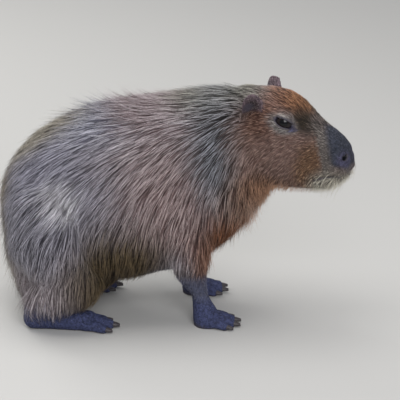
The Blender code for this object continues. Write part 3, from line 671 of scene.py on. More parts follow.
def press(points, normals, tree, path, width, depth):
    """Push a groove into the surface along a path laid on it, or raise a ridge, and say where."""
    line = refined([tree.find_nearest(point)[0] for point in refined(path)])
    middle = np.array(line).mean(axis=0)
    reach = max((point - Vector(middle)).length for point in line) + width * 2
    chosen = np.nonzero(((points - middle) ** 2).sum(axis=1) < reach * reach)[0]
    nearest = np.full(len(chosen), 1e9)
    for point in line:
        nearest = np.minimum(nearest, ((points[chosen] - np.array(point)) ** 2).sum(axis=1))
    share = np.zeros(len(points))
    share[chosen] = np.clip(1.0 - nearest / (width * width), 0.0, 1.0)
    points -= normals * (depth * share * share)[:, None]
    return share


def shape_face(skin):
    """Nostrils, mouth, lips and the rims and folds of the lids."""
    points = points_of(skin)
    normals = normals_of(skin)
    skin.data.calc_loop_triangles()
    tree = BVHTree.FromPolygons([Vector(point) for point in points],
                                [tuple(face.vertices) for face in skin.data.polygons])
    # The pit marks painted shade: near black in the nostrils and, fainter, along the mouth's groove
    pit = np.zeros(len(points))
    for side in (-1, 1):
        mouth = on_head(MOUTH, side)
        press(points, normals, tree, [point + UP * LIP_STEP for point in mouth], *UPPER_LIP)
        press(points, normals, tree, [point - UP * LIP_STEP for point in mouth], *LOWER_LIP)
        pit = np.maximum(pit, press(points, normals, tree, mouth, *MOUTH_GROOVE) - MOUTH_PALER)
        press(points, normals, tree, on_head(NOSTRIL_FOLD, side), *FOLD_GROOVE)
        pit = np.maximum(pit, press(points, normals, tree, on_head(NOSTRIL, side), *NOSTRIL_PIT))
        rim = almond_ring(side, EYE_RADIUS, LID_RIM_SCALE)
        press(points, normals, tree, rim + rim[:1], *LID_RIM)
        fold = almond_ring(side, EYE_RADIUS, LID_FOLD_SCALE)
        press(points, normals, tree, fold[UPPER_LID], *UPPER_LID_GROOVE)
        press(points, normals, tree, fold[LOWER_LID], *LOWER_LID_GROOVE)
    press(points, normals, tree, on_head(CLEFT, 1), *CLEFT_GROOVE)
    points[:, 2] = np.maximum(points[:, 2], FLOOR_CLEAR)
    set_points(skin, points)
    add_attribute(skin.data, "pit", "FLOAT", "POINT", "value", pit)


def thin_skin(skin):
    """Fewer triangles on the body, which the coat hides, and all of them on the head."""
    ahead, high = in_head(points_of(skin))[:2]
    plain = 1.0 - ramp(ahead, 0.0, 0.03) * ramp(high, -0.16, -0.13)
    group = skin.vertex_groups.new(name="plain")
    for index in np.nonzero(plain > 0.01)[0]:
        group.add([int(index)], float(plain[index]), "REPLACE")
    count = sum(len(face.vertices) - 2 for face in skin.data.polygons)
    modifier = skin.modifiers.new("thin", "DECIMATE")
    modifier.ratio = min(1.0, SKIN_TRIANGLES / count)
    modifier.vertex_group = "plain"
    modifier.use_collapse_triangulate = True
    settle(skin)
    skin.vertex_groups.clear()


# Places and directions of the coat


def blend(first, second, share):
    return first + (second - first) * share[:, None]


def unit(vectors):
    return vectors / np.maximum(np.linalg.norm(vectors, axis=1), 1e-9)[:, None]


def on_foreleg(points):
    x, z = points[:, 0], points[:, 2]
    return ramp(-z, -0.150, -0.110) * ramp(x, -0.100, -0.080) * ramp(-x, -0.075, -0.060)


def on_hind_foot(points):
    x, y, z = points.T
    return ramp(-z, -0.085, -0.055) * ramp(-x, 0.120, 0.135) * ramp(np.abs(y), 0.050, 0.062)


def on_head_share(points):
    ahead, high = in_head(points)[:2]
    return ramp(ahead + 0.35 * high, 0.000, 0.060) * ramp(points[:, 2], 0.17, 0.20)


def lie_of_coat(points, normals):
    """The way the coat lies: back along the body and down, back over the head."""
    x, z = points[:, 0], points[:, 2]
    slant = np.interp(z, LIE_HEIGHTS, LIE_SLANTS) + THROAT_SLANT * np.clip(x / 0.08, 0.0, 1.0)
    slant = np.radians(np.minimum(slant + FLANK_SLANT * ramp(x, -0.20, -0.05), STEEPEST))
    lie = np.stack([-np.cos(slant), np.zeros(len(x)), -np.sin(slant)], axis=1)
    drop = np.radians(np.interp(in_head(points)[1], HEAD_DROP_AT, HEAD_DROPS))
    back = -np.outer(np.cos(drop), FORWARD) - np.outer(np.sin(drop), UP)
    lie = blend(lie, back, on_head_share(points))
    lie = blend(lie, np.array(FOOT_LIE), ramp(-z, -0.042, -0.026))
    for side in (-1, 1):
        root, tall = ear_frame(side)[:2]
        close = np.linalg.norm(points - np.array(root + tall * 0.015), axis=1)
        lie = blend(lie, np.array(tall), ear_share(points) * ramp(-close, -0.045, -0.030))
    lie = lie + np.cross(normals, lie) * waves(points)[:, None]
    flat = lie - normals * (lie * normals).sum(axis=1)[:, None]
    spare = np.array(SPARE_LIE) - normals * (normals @ np.array(SPARE_LIE))[:, None]
    weak = np.linalg.norm(flat, axis=1) < LEAST_LIE
    flat[weak] = spare[weak]
    return unit(flat)


def waves(points):
    """A slow swing of the lie from side to side over the body."""
    x, y, z = points.T
    swing = np.sin(61.0 * x + 37.0 * z + 2.0 * y) + np.sin(97.0 * z - 43.0 * x + 11.0 * y + 1.7)
    return swing * (WAVE_BODY + (WAVE_HEAD - WAVE_BODY) * on_head_share(points))


def stray_height(points):
    """How far the few hairs that stand out rise over the coat."""
    rise = STRAY_BODY + STRAY_LOIN * near(points, *LOIN_AT) + STRAY_CHEST * near(points, *CHEST_AT)
    rise = rise + STRAY_REAR * ramp(-points[:, 0], 0.27, 0.33)
    short = np.maximum(np.maximum(on_head_share(points), on_foreleg(points)), on_hind_foot(points))
    jaw = near(np.stack(in_head(points), axis=1), *JAW_AT)
    return rise * (1.0 - short) + (STRAY_SHORT + STRAY_JAW * jaw) * short


def hair_length(points):
    x, z = points[:, 0], points[:, 2]
    ahead, high = in_head(points)[:2]
    length = np.interp(x, BODY_HAIR_AT, BODY_HAIR) + BELLY_LONGER * ramp(-z, -0.12, -0.06)
    on_face = np.interp(ahead + 0.2 * high, HEAD_HAIR_AT, HEAD_HAIR)
    on_face = on_face * (1.0 + JAW_LONGER * ramp(-high, 0.055, 0.090))
    share = on_head_share(points)
    length = length * (1.0 - share) + on_face * share
    leg = np.interp(z, LEG_HAIR_AT, LEG_HAIR)
    share = np.maximum(on_foreleg(points), on_hind_foot(points))
    length = length * (1.0 - share) + leg * share
    for side in (-1, 1):
        root, tall = ear_frame(side)[:2]
        apart = np.linalg.norm(points - np.array(root + tall * 0.004), axis=1)
        length = length * (EAR_ROOT_HAIR + (1.0 - EAR_ROOT_HAIR) * ramp(apart, 0.020, 0.034))
    return length * (1.0 - ear_share(points)) + EAR_HAIR * ear_share(points)


def coat_depth(points):
    share = on_head_share(points)
    on_face = np.interp(in_head(points)[0], HEAD_HAIR_AT, HEAD_DEPTHS)
    depth = DEPTH_BODY * (1.0 - share) + on_face * share
    share = np.maximum(on_foreleg(points), on_hind_foot(points))
    depth = depth * (1.0 - share) + leg_depth(points[:, 2]) * share
    return depth * (1.0 - ear_share(points)) + EAR_DEPTH * ear_share(points)


def free_hair(points):
    """Where the whiskers and the fringes grow, and how long the hair is there."""
    ahead, high, out = in_head(points)
    local = np.stack([ahead, high, np.abs(out)], axis=1)
    chest = near(points, *CHEST_FRINGE)
    fringe, length = chest * CHEST_FRINGE_SHARE, CHEST_FRINGE_LENGTH * chest
    for centre, radii, soft, long, amount in HEAD_FRINGES:
        share = near(local, centre, radii, soft)
        fringe = np.maximum(fringe, share * amount)
        length = np.where(share > LEAST_SHARE, long, length)
    return near(local, *WHISKER_PAD), fringe, np.maximum(length, LEAST_FREE_HAIR)


def eye_share(points, wide, tall, ahead=0.0, below=0.0, soft=0.15):
    """1 over an oval on the lids, its middle this far ahead of and below the eye's, 0 away from it."""
    share = np.zeros(len(points))
    for side in (-1, 1):
        look, along, across = eye_axes(side)
        local = points - np.array(eye_centre(side) + look * EYE_RADIUS)
        over, rise, deep = local @ np.array(along), local @ np.array(across), local @ np.array(look)
        turned = over * math.cos(LID_TILT) + rise * math.sin(LID_TILT) - ahead
        lifted = rise * math.cos(LID_TILT) - over * math.sin(LID_TILT) + below
        away = np.sqrt((turned / wide) ** 2 + (lifted / tall) ** 2)
        share = np.maximum(share, (1.0 - ramp(away, 1.0 - soft, 1.0 + soft)) * ramp(deep, -0.03, -0.02))
    return share


def hollow_shade_share(points):
    """1 in the hollow of each ear, where painted shade darkens the cup, 0 on its rim and its back."""
    share = np.zeros(len(points))
    for side in (-1, 1):
        root, tall, wide, out = ear_frame(side)
        middle = root + tall * CUP_HIGH + out * CUP_PROUD
        local = points - np.array(middle)
        axes = [local @ np.array(way) for way in (wide, tall, out)]
        share = np.maximum(share, near(np.stack(axes, axis=1), (0.0, 0.0, 0.0), CUP_REACH, 0.3))
    return share


def bare_share(points):
    """1 on the lids' edges, the nose, the lips, the cups of the ears and the soles."""
    bare = eye_share(points, *LID_EDGE)
    for side in (-1, 1):
        for path, reach in ((NOSTRIL, NOSTRIL_BARE), (MOUTH, MOUTH_BARE)):
            for point in on_head(path, side):
                away = np.linalg.norm(points - np.array(point), axis=1)
                bare = np.maximum(bare, 1.0 - ramp(away, reach * 0.6, reach))
        root, tall, wide, out = ear_frame(side)
        high, rear, proud = CUP_BARE_AT
        cup = root + tall * high - wide * rear + out * proud
        bare = np.maximum(bare, CUP_BARE * near(points, cup, CUP_BARE_REACH, 0.4))
    return np.maximum(bare, ramp(-points[:, 2], *SOLE_BARE))


# Colours: each mark is a place, its reach, how soft its edge is, and two colours


def colour(red, green, blue):
    """A colour as a screen shows it, from 0 to 255, made linear."""
    parts = []
    for value in (red, green, blue):
        share = value / 255.0
        parts.append(share / 12.92 if share <= 0.04045 else ((share + 0.055) / 1.055) ** 2.4)
    return np.array(parts)


def paint(red, green, blue):
    """The same for a node's socket."""
    return (*colour(red, green, blue), 1.0)


BODY_TONE = colour(132, 118, 120)
BODY_TIP = colour(206, 196, 200)

BODY_MARKS = {
    # rump and loin: grey coat with a painted bluish sheen of skylight, palest on the loin along the top of
    # the back
    "rump": ((-0.26, 0.0, 0.27), (0.13, 0.30, 0.12), 0.5, (95, 94, 108), (188, 186, 200)),
    "loin": ((-0.16, 0.0, 0.38), (0.11, 0.16, 0.05), 0.5, (112, 114, 132), (206, 206, 218)),
    "back": ((-0.075, 0.0, 0.38), (0.055, 0.12, 0.045), 0.5, (118, 96, 97), (194, 181, 184)),
    "nape": ((0.045, 0.0, 0.41), (0.075, 0.10, 0.05), 0.5, (58, 55, 47), (172, 168, 152)),
    "shoulder": ((-0.03, 0.0, 0.230), (0.08, 0.30, 0.11), 0.6, (144, 115, 113), (212, 192, 190)),
    "neck": ((0.05, 0.0, 0.32), (0.05, 0.30, 0.08), 0.6, (66, 66, 68), (174, 177, 186)),
    "throat": ((0.10, 0.0, 0.22), (0.06, 0.30, 0.07), 0.6, (103, 78, 68), (224, 198, 182)),
    "chest": ((0.038, 0.0, 0.162), (0.052, 0.16, 0.068), 0.5, (84, 44, 26), (166, 108, 68)),
    # belly: the brown of the belly made darker with painted shade beneath the body
    "belly": ((-0.130, 0.0, 0.120), (0.095, 0.40, 0.092), 0.4, (40, 31, 20), (128, 110, 82)),
    # spine and seat: the olive-brown of the back's midline and rear, darkened with painted shade where the
    # fur turns away along the outline
    "spine": ((-0.25, 0.0, 0.340), (0.10, 0.042, 0.055), 0.5, (90, 84, 76), (176, 168, 152)),
    "seat": ((-0.335, 0.0, 0.20), (0.045, 0.075, 0.14), 0.5, (92, 82, 70), (178, 166, 146)),
    "thigh": ((-0.275, 0.0, 0.200), (0.045, 0.30, 0.060), 0.5, (86, 84, 94), (178, 176, 186)),
    # haunch: a painted highlight, the near-white sheen where the bulge of the thigh catches light
    "haunch": ((-0.216, 0.0, 0.250), (0.030, 0.30, 0.034), 0.5, (214, 210, 218), (248, 246, 250)),
    "elbow": ((-0.040, 0.0, 0.120), (0.030, 0.30, 0.050), 0.5, (120, 110, 114), (184, 176, 180)),
    "arm_front": ((0.018, 0.0, 0.130), (0.026, 0.30, 0.045), 0.5, (124, 80, 62), (188, 146, 124)),
}
# Marks of the head: distance ahead, high and out to either side
HEAD_MARKS = {
    "cheek": ((0.08, -0.02, 0.0), (0.10, 0.08, 0.20), 0.3, (141, 111, 102), (182, 154, 142)),
    "temple": ((0.060, 0.045, 0.055), (0.030, 0.035, 0.03), 0.5, (112, 78, 66), (178, 140, 122)),
    "jaw": ((0.08, -0.085, 0.0), (0.09, 0.034, 0.20), 0.5, (96, 62, 44), (196, 152, 122)),
    "crown": ((0.092, 0.088, 0.0), (0.047, 0.042, 0.055), 0.4, (96, 64, 50), (184, 140, 118)),
    "forehead": ((0.116, 0.078, 0.0), (0.034, 0.024, 0.038), 0.5, (108, 68, 44), (204, 150, 110)),
    "brow": ((0.131, 0.053, 0.030), (0.027, 0.018, 0.032), 0.7, (48, 40, 31), (100, 84, 66)),
    "bridge": ((0.152, 0.050, 0.0), (0.018, 0.020, 0.036), 0.6, (84, 74, 70), (158, 144, 138)),
    "golden": ((0.158, -0.014, 0.045), (0.024, 0.050, 0.03), 0.6, (118, 86, 64), (180, 144, 112)),
}
# Marks of the mouth, over the slate of the muzzle
MOUTH_MARKS = {
    "nose": ((0.206, 0.010, 0.020), (0.013, 0.015, 0.017), 0.5, (92, 90, 118), (122, 120, 146)),
    "lip": ((0.204, -0.014, 0.030), (0.016, 0.013, 0.03), 0.5, (120, 104, 100), (184, 170, 160)),
    "chin": ((0.202, -0.042, 0.0), (0.040, 0.033, 0.20), 0.4, (136, 130, 120), (222, 216, 198)),
}
MUZZLE_EDGE = (0.50, 0.174, 0.189)
MUZZLE_CURVE = 0.30
BAND_WIDTH = 0.015
BAND_MARK = ((112, 104, 100), (172, 164, 156))
MUZZLE_MARK = ((64, 69, 84), (106, 108, 122))
LID_EDGE = (0.0200, 0.0090)
EYE_RING_OVAL = (0.0245, 0.0150, 0.0015, 0.0028, 0.30)
EYE_RING = ((158, 150, 148), (200, 194, 190))
TEAR_OVAL = (0.0065, 0.0055, 0.0185, 0.0030, 0.4)
TEAR_MARK = ((104, 102, 140), (150, 148, 184))
LEG_MARK = ((106, 110, 136), (150, 150, 172))
FOOT_MARK = ((86, 94, 138), (120, 126, 170))
EAR_MARK = ((136, 116, 124), (176, 158, 166))
# Painted shade in the hollow of each ear's cup, with pale tufts at the tips
CUP_SHADE_MARK = ((58, 44, 48), (166, 154, 150))
CUP_HIGH = 0.014
CUP_PROUD = 0.006
CUP_REACH = (0.012, 0.017, 0.008)
# Bare hide: reach round nostrils and mouth, place and share in the cup of an ear, and depth of the soles
NOSTRIL_BARE = 0.0055
MOUTH_BARE = 0.0032
CUP_BARE_AT = (0.012, 0.006, 0.003)
CUP_BARE_REACH = (0.010, 0.010, 0.010)
CUP_BARE = 0.85
SOLE_BARE = (-0.0035, -0.0015)


def marks_of_head(marks, local, on_face):
    """How far each mark covers each point, and its two colours."""
    return [(near(local, centre, radii, soft) * on_face, (under, end))
            for centre, radii, soft, under, end in marks.values()]


def coat_colours(points):
    """The under colour of the coat at each point, and the colour of its tips."""
    tone = np.tile(BODY_TONE, (len(points), 1))
    tip = np.tile(BODY_TIP, (len(points), 1))
    for centre, radii, soft, under, end in BODY_MARKS.values():
        share = near(points, centre, radii, soft)
        tone, tip = blend(tone, colour(*under), share), blend(tip, colour(*end), share)
    ahead, high, out = in_head(points)
    local = np.stack([ahead, high, np.abs(out)], axis=1)
    on_face = on_head_share(points)
    slope, rear, front = MUZZLE_EDGE
    edge = ahead + slope * high - MUZZLE_CURVE * np.abs(out)
    band = ramp(edge, rear - BAND_WIDTH, rear - BAND_WIDTH / 2) * ramp(np.abs(out), 0.008, 0.022) * on_face
    muzzle = ramp(edge, rear, front) * ramp(high, -0.006, 0.006) * on_face
    z = points[:, 2]
    leg = np.maximum(on_foreleg(points) * ramp(-z, -0.115, -0.080), on_hind_foot(points))
    shades = marks_of_head(HEAD_MARKS, local, on_face) + [(band, BAND_MARK), (muzzle, MUZZLE_MARK)]
    shades += marks_of_head(MOUTH_MARKS, local, on_face)
    shades += [(leg, LEG_MARK), (leg * ramp(-z, -0.060, -0.035), FOOT_MARK), (ear_share(points), EAR_MARK),
               # painted shade in the hollow of each ear
               (hollow_shade_share(points), CUP_SHADE_MARK),
               (eye_share(points, *EYE_RING_OVAL), EYE_RING), (eye_share(points, *TEAR_OVAL), TEAR_MARK)]
    for share, mark in shades:
        tone, tip = blend(tone, colour(*mark[0]), share), blend(tip, colour(*mark[1]), share)
    return tone, tip


def add_attribute(mesh, name, kind, domain, field, values):
    attribute = mesh.attributes.new(name, kind, domain)
    exact = np.int32 if kind == "INT" else np.float32
    attribute.data.foreach_set(field, np.ascontiguousarray(values, dtype=exact).ravel())


def with_alpha(colours):
    return np.concatenate([colours, np.ones((len(colours), 1))], axis=1)


# Patches of the coat: one piece each


BANDS = ("rump", "loin", "flank", "shoulder", "neck", "face", "foreleg", "hind_foot")
PATCHES = [f"coat_{band}_{side}" for band in BANDS for side in ("right", "left")]
BAND_EDGES = (-0.225, -0.145, -0.065, 0.010)


def patch_of(points):
    """The number of the patch that each point belongs to."""
    band = np.searchsorted(BAND_EDGES, points[:, 0])
    for name, share_of in (("face", on_head_share), ("foreleg", on_foreleg), ("hind_foot", on_hind_foot)):
        band[share_of(points) > 0.5] = BANDS.index(name)
    left = np.where(band == BANDS.index("face"), in_head(points)[2] > 0, points[:, 1] > 0)
    return band * 2 + left.astype(int)


def paint_skin(skin):
    """Write on the skin what the coat and the finishes read."""
    mesh = skin.data
    points = points_of(skin)
    normals = normals_of(skin)
    tone, tip = coat_colours(points)
    pit = np.empty(len(points), np.float32)
    mesh.attributes["pit"].data.foreach_get("value", pit)
    bare = np.maximum(bare_share(points), ramp(pit, 0.10, 0.40))
    depth = coat_depth(points)
    whisker, fringe, length = free_hair(points)
    add_attribute(mesh, "lie", "FLOAT_VECTOR", "POINT", "vector", lie_of_coat(points, normals))
    numbers = {"hair": hair_length(points), "depth": depth,
               "thick": np.interp(depth, THICK_DEPTHS, THICKNESSES), "stray": stray_height(points),
               "cover": ramp(-bare, -0.7, -0.2), "bare": bare, "whisker": whisker, "fringe": fringe,
               "free_hair": np.where(whisker > LEAST_SHARE, WHISKER_LENGTH, length)}
    for name, values in numbers.items():
        add_attribute(mesh, name, "FLOAT", "POINT", "value", values)
    add_attribute(mesh, "tone", "FLOAT_COLOR", "POINT", "color", with_alpha(tone))
    add_attribute(mesh, "tip", "FLOAT_COLOR", "POINT", "color", with_alpha(tip))
    centres = np.empty(len(mesh.polygons) * 3, np.float32)
    mesh.polygons.foreach_get("center", centres)
    centres = centres.reshape(-1, 3)
    add_attribute(mesh, "patch", "INT", "FACE", "value", patch_of(centres))
    add_attribute(mesh, "half", "INT", "FACE", "value", in_head(centres)[2] > 0)


def unwrap(skin):
    bpy.ops.object.select_all(action="DESELECT")
    skin.select_set(True)
    bpy.context.view_layer.objects.active = skin
    bpy.ops.object.mode_set(mode="EDIT")
    bpy.ops.mesh.select_all(action="SELECT")
    bpy.ops.uv.smart_project(angle_limit=1.15, island_margin=0.002)
    bpy.ops.object.mode_set(mode="OBJECT")
    skin.data.uv_layers.active.name = "OFBake"


# Nodes


def add_node(tree, kind, given=None, **settings):
    """A node with its settings, and values or links for its inputs."""
    node = tree.nodes.new(kind)
    for name, value in settings.items():
        setattr(node, name, value)
    for name, value in (given or {}).items():
        join(tree, node.inputs[name], value)
    return node


def join(tree, socket, value):
    if isinstance(value, bpy.types.NodeSocket):
        tree.links.new(value, socket)
    else:
        socket.default_value = value


def number(tree, operation, *values):
    node = add_node(tree, "ShaderNodeMath", dict(enumerate(values)), operation=operation)
    return node.outputs[0]


def times(tree, first, second):
    return number(tree, "MULTIPLY", first, second)


def rest_of(tree, share):
    """What is left of one."""
    return number(tree, "SUBTRACT", 1.0, share)


def vector(tree, operation, first, second=None):
    node = add_node(tree, "ShaderNodeVectorMath", {0: first}, operation=operation)
    if second is not None:
        join(tree, node.inputs[3 if operation == "SCALE" else 1], second)
    return node.outputs["Vector"]


def make_vector(tree, x, y, z=0.0):
    return add_node(tree, "ShaderNodeCombineXYZ", {0: x, 1: y, 2: z}).outputs[0]


def split_vector(tree, value):
    return add_node(tree, "ShaderNodeSeparateXYZ", {0: value}).outputs


def position_in(tree):
    return tree.nodes.new("GeometryNodeInputPosition").outputs[0]


def chance(tree, low, high, seed, key=None):
    """A random number for each element, or for each value of a key."""
    given = {2: low, 3: high, "Seed": seed}
    if key is not None:
        given["ID"] = key
    return add_node(tree, "FunctionNodeRandomValue", given).outputs[1]


def named(tree, name, kind="FLOAT"):
    return add_node(tree, "GeometryNodeInputNamedAttribute", {"Name": name}, data_type=kind).outputs[0]


def stored(tree, geometry, name, value, kind="FLOAT_VECTOR", domain="POINT"):
    given = {"Geometry": geometry, "Name": name, "Value": value}
    return add_node(tree, "GeometryNodeStoreNamedAttribute", given, data_type=kind, domain=domain).outputs[0]


def on_skin(tree, skin, value, place):
    given = {"Mesh": skin, "Value": value, "Sample Position": place}
    return add_node(tree, "GeometryNodeSampleNearestSurface", given, data_type="FLOAT_VECTOR").outputs[0]


def new_tree(name, kind, inlets, outlets):
    tree = bpy.data.node_groups.new(name, kind)
    for way, sockets in (("INPUT", inlets), ("OUTPUT", outlets)):
        for socket, socket_kind in sockets:
            tree.interface.new_socket(name=socket, in_out=way, socket_type="NodeSocket" + socket_kind)
    return tree, tree.nodes.new("NodeGroupInput").outputs, tree.nodes.new("NodeGroupOutput").inputs


# The coat


STRAND_INLETS = [("Skin", "Geometry"), ("Parts", "String"), ("Patch", "Int"), ("Where", "String"),
                 ("Long", "String"), ("Strands", "Float"), ("Clumps", "Float"), ("Pull", "Float"),
                 ("Sway", "Float"), ("Guard", "Float"), ("Wider", "Float"), ("Rise", "Float"),
                 ("Sag", "Float"), ("Free", "Float"), ("Seed", "Int"), ("Finish", "Material")]
PATCH_SIZE = 0.003
# Distance from the middle of a clump, in clump spacings, where a gap begins and is full
GAP_FROM = 0.18
GAP_TO = 0.62
GAP_DROP = 0.22
GUARD_RISE = 0.34
GUARD_WIDER = 0.15
# Least and most of what each strand draws for itself, and of what a clump shares
STRAND_LENGTHS = (0.70, 1.12)
CLUMP_LENGTHS = (0.85, 1.10)
STRAND_SWAYS = (-1.0, 1.0)
CLUMP_SWAYS = (-0.7, 0.7)
STRAND_HEIGHTS = (0.42, 0.82)
STRAY_FEW = 7.0
# The share of its sway that a strand has at the root
SWAY_FROM = 0.5
# Height of a strand's root, how it climbs, lifts, leans to its clump and tapers, and how flat it is
STRAND_ROOT = -0.0005
STRAND_CLIMB = 1.8
STRAY_CURVE = 2.5
PULL_CURVE = 0.8
STRAND_TAPER = 0.6
STRAND_FLAT = 0.6
# What the strands take from the skin and don't keep
SKIN_VALUES = ("OFBake", "lie", "hair", "free_hair", "depth", "thick", "stray", "cover", "whisker",
               "fringe", "bare", "pit", "patch", "half")


def scatter_roots(tree, inlet):
    """Points where strands start, the clump of each, and how far it stands in the gap between clumps."""
    position = position_in(tree)
    given = {2: named(tree, inlet["Parts"], "INT"), 3: inlet["Patch"]}
    here = add_node(tree, "FunctionNodeCompare", given, data_type="INT", operation="EQUAL").outputs[0]
    amount = times(tree, named(tree, inlet["Where"]), inlet["Strands"])
    given = {"Mesh": inlet["Skin"], "Selection": here, "Density": amount, "Seed": inlet["Seed"]}
    roots = add_node(tree, "GeometryNodeDistributePointsOnFaces", given).outputs["Points"]
    given = {"Mesh": inlet["Skin"], "Density": inlet["Clumps"], "Seed": 3}
    centres = add_node(tree, "GeometryNodeDistributePointsOnFaces", given).outputs["Points"]
    given = {"Geometry": centres, "Sample Position": position}
    clump = add_node(tree, "GeometryNodeSampleNearest", given, domain="POINT").outputs[0]
    given = {"Geometry": centres, "Value": position, "Index": clump}
    centre = add_node(tree, "GeometryNodeSampleIndex", given, data_type="FLOAT_VECTOR").outputs[0]
    towards = vector(tree, "SUBTRACT", centre, position)
    apart = add_node(tree, "ShaderNodeVectorMath", {0: towards}, operation="LENGTH").outputs["Value"]
    apart = times(tree, apart, number(tree, "SQRT", inlet["Clumps"]))
    gap = add_node(tree, "ShaderNodeMapRange", {0: apart, 1: GAP_FROM, 2: GAP_TO}).outputs[0]
    return stored(tree, roots, "walk_pull", towards), clump, gap


def measure_strands(tree, inlet, roots, clump, gap):
    """Store on each root what its strand draws for itself and what it shares with its clump."""
    own = chance(tree, 0.0, 1.0, 11)
    guard = number(tree, "GREATER_THAN", own, rest_of(tree, inlet["Guard"]))
    length = times(tree, named(tree, inlet["Long"]), chance(tree, *STRAND_LENGTHS, 14))
    sway = number(tree, "ADD", chance(tree, *STRAND_SWAYS, 16), chance(tree, *CLUMP_SWAYS, 17, clump))
    height = number(tree, "SUBTRACT", chance(tree, *STRAND_HEIGHTS, 18), times(tree, gap, GAP_DROP))
    height = number(tree, "MULTIPLY_ADD", guard, GUARD_RISE, height)
    few = number(tree, "POWER", chance(tree, 0.0, 1.0, 19), STRAY_FEW)
    thick = times(tree, named(tree, "thick"), number(tree, "MULTIPLY_ADD", guard, GUARD_WIDER, 1.0))
    numbers = {"gap": gap, "walk_sway": times(tree, inlet["Sway"], sway),
               "walk_length": times(tree, length, chance(tree, *CLUMP_LENGTHS, 15, clump)),
               "walk_height": times(tree, named(tree, "depth"), height),
               "walk_lift": times(tree, named(tree, "stray"), few),
               "walk_thick": times(tree, thick, inlet["Wider"])}
    for name, value in numbers.items():
        roots = stored(tree, roots, name, value, "FLOAT")
    vectors = {"walk_draw": make_vector(tree, own, chance(tree, 0.0, 1.0, 12, clump)),
               "walk_root": named(tree, "OFBake", "FLOAT_VECTOR"), "walk_place_0": position_in(tree)}
    for name, value in vectors.items():
        roots = stored(tree, roots, name, value)
    return roots


def walk(tree, inlet, roots, segments):
    """Store where each ring of a strand lies, and its ways sideways and up, step by step."""
    skin, position = inlet["Skin"], position_in(tree)
    normal = tree.nodes.new("GeometryNodeInputNormal").outputs["Normal"]
    for step in range(segments + 1):
        share = step / segments
        place = named(tree, f"walk_place_{step}", "FLOAT_VECTOR")
        facing = vector(tree, "NORMALIZE", on_skin(tree, skin, normal, place))
        lie = on_skin(tree, skin, named(tree, "lie", "FLOAT_VECTOR"), place)
        turn = times(tree, named(tree, "walk_sway"), SWAY_FROM + share)
        given = {"Vector": lie, "Axis": facing, "Angle": turn}
        ahead = add_node(tree, "ShaderNodeVectorRotate", given).outputs[0]
        ahead = vector(tree, "ADD", ahead, vector(tree, "SCALE", facing, inlet["Rise"]))
        fall = make_vector(tree, 0.0, 0.0, times(tree, inlet["Sag"], -share))
        ahead = vector(tree, "NORMALIZE", vector(tree, "ADD", ahead, fall))
        side = vector(tree, "NORMALIZE", vector(tree, "CROSS_PRODUCT", facing, ahead))
        roots = stored(tree, roots, f"walk_side_{step}", side)
        roots = stored(tree, roots, f"walk_up_{step}", facing)
        if step < segments:
            reach = number(tree, "DIVIDE", named(tree, "walk_length"), float(segments))
            target = vector(tree, "ADD", place, vector(tree, "SCALE", ahead, reach))
            given = {0: inlet["Free"], 4: on_skin(tree, skin, position, target), 5: target}
            walked = add_node(tree, "ShaderNodeMix", given, data_type="VECTOR").outputs[1]
            roots = stored(tree, roots, f"walk_place_{step + 1}", walked)
    return roots


def raise_strands(tree, inlet, roots, segments):
    """A spike on each root, bent through the rings of its walk, with its ways along and round."""
    given = {"Vertices": 3, "Side Segments": segments, "Radius Top": 0.0, "Radius Bottom": 1.0, "Depth": 1.0}
    spike = add_node(tree, "GeometryNodeMeshCone", given).outputs["Mesh"]
    spike = stored(tree, spike, "walk_form", position_in(tree))
    strands = add_node(tree, "GeometryNodeInstanceOnPoints", {"Points": roots, "Instance": spike}).outputs[0]
    strands = add_node(tree, "GeometryNodeRealizeInstances", {"Geometry": strands}).outputs[0]
    form = split_vector(tree, named(tree, "walk_form", "FLOAT_VECTOR"))
    round_way = split_vector(tree, vector(tree, "NORMALIZE", make_vector(tree, form["X"], form["Y"])))
    along, left = form["Z"], rest_of(tree, form["Z"])
    given = {0: times(tree, along, float(segments))}
    ring = add_node(tree, "FunctionNodeFloatToInt", given, rounding_mode="ROUND").outputs[0]
    spot, side, above = (by_ring(tree, ring, f"walk_{name}", segments) for name in ("place", "side", "up"))
    rise = rest_of(tree, number(tree, "POWER", left, STRAND_CLIMB))
    height = number(tree, "MULTIPLY_ADD", named(tree, "walk_height"), rise, STRAND_ROOT)
    curve = number(tree, "POWER", along, STRAY_CURVE)
    height = number(tree, "MULTIPLY_ADD", named(tree, "walk_lift"), curve, height)
    width = times(tree, named(tree, "walk_thick"), number(tree, "POWER", left, STRAND_TAPER))
    height = number(tree, "MULTIPLY_ADD", times(tree, width, STRAND_FLAT), round_way["Y"], height)
    pull = times(tree, inlet["Pull"], number(tree, "POWER", along, PULL_CURVE))
    for way, reach in ((named(tree, "walk_pull", "FLOAT_VECTOR"), pull),
                       (side, times(tree, width, round_way["X"])), (above, height)):
        spot = vector(tree, "ADD", spot, vector(tree, "SCALE", way, reach))
    spot = vector(tree, "MAXIMUM", spot, (-9.0, -9.0, FLOOR_CLEAR))
    strands = add_node(tree, "GeometryNodeSetPosition", {"Geometry": strands, "Position": spot}).outputs[0]
    return strands, along, round_way["Y"]


def mark_strands(tree, strands, along, across):
    """Store what the finishes read, and give each strand its patch on the map."""
    draws = split_vector(tree, named(tree, "walk_draw", "FLOAT_VECTOR"))
    strands = stored(tree, strands, "tuft", make_vector(tree, along, draws["X"], draws["Y"]))
    over = times(tree, across, PATCH_SIZE / 2)
    past = times(tree, number(tree, "SUBTRACT", along, 0.5), PATCH_SIZE)
    corner = vector(tree, "ADD", named(tree, "walk_root", "FLOAT_VECTOR"), make_vector(tree, over, past))
    for name in SKIN_VALUES:
        given = {"Geometry": strands, "Name": name}
        strands = add_node(tree, "GeometryNodeRemoveAttribute", given).outputs[0]
    given = {"Geometry": stored(tree, strands, "OFBake", corner, "FLOAT2", "CORNER"), "Name": "walk_*"}
    return add_node(tree, "GeometryNodeRemoveAttribute", given, pattern_mode="WILDCARD").outputs[0]


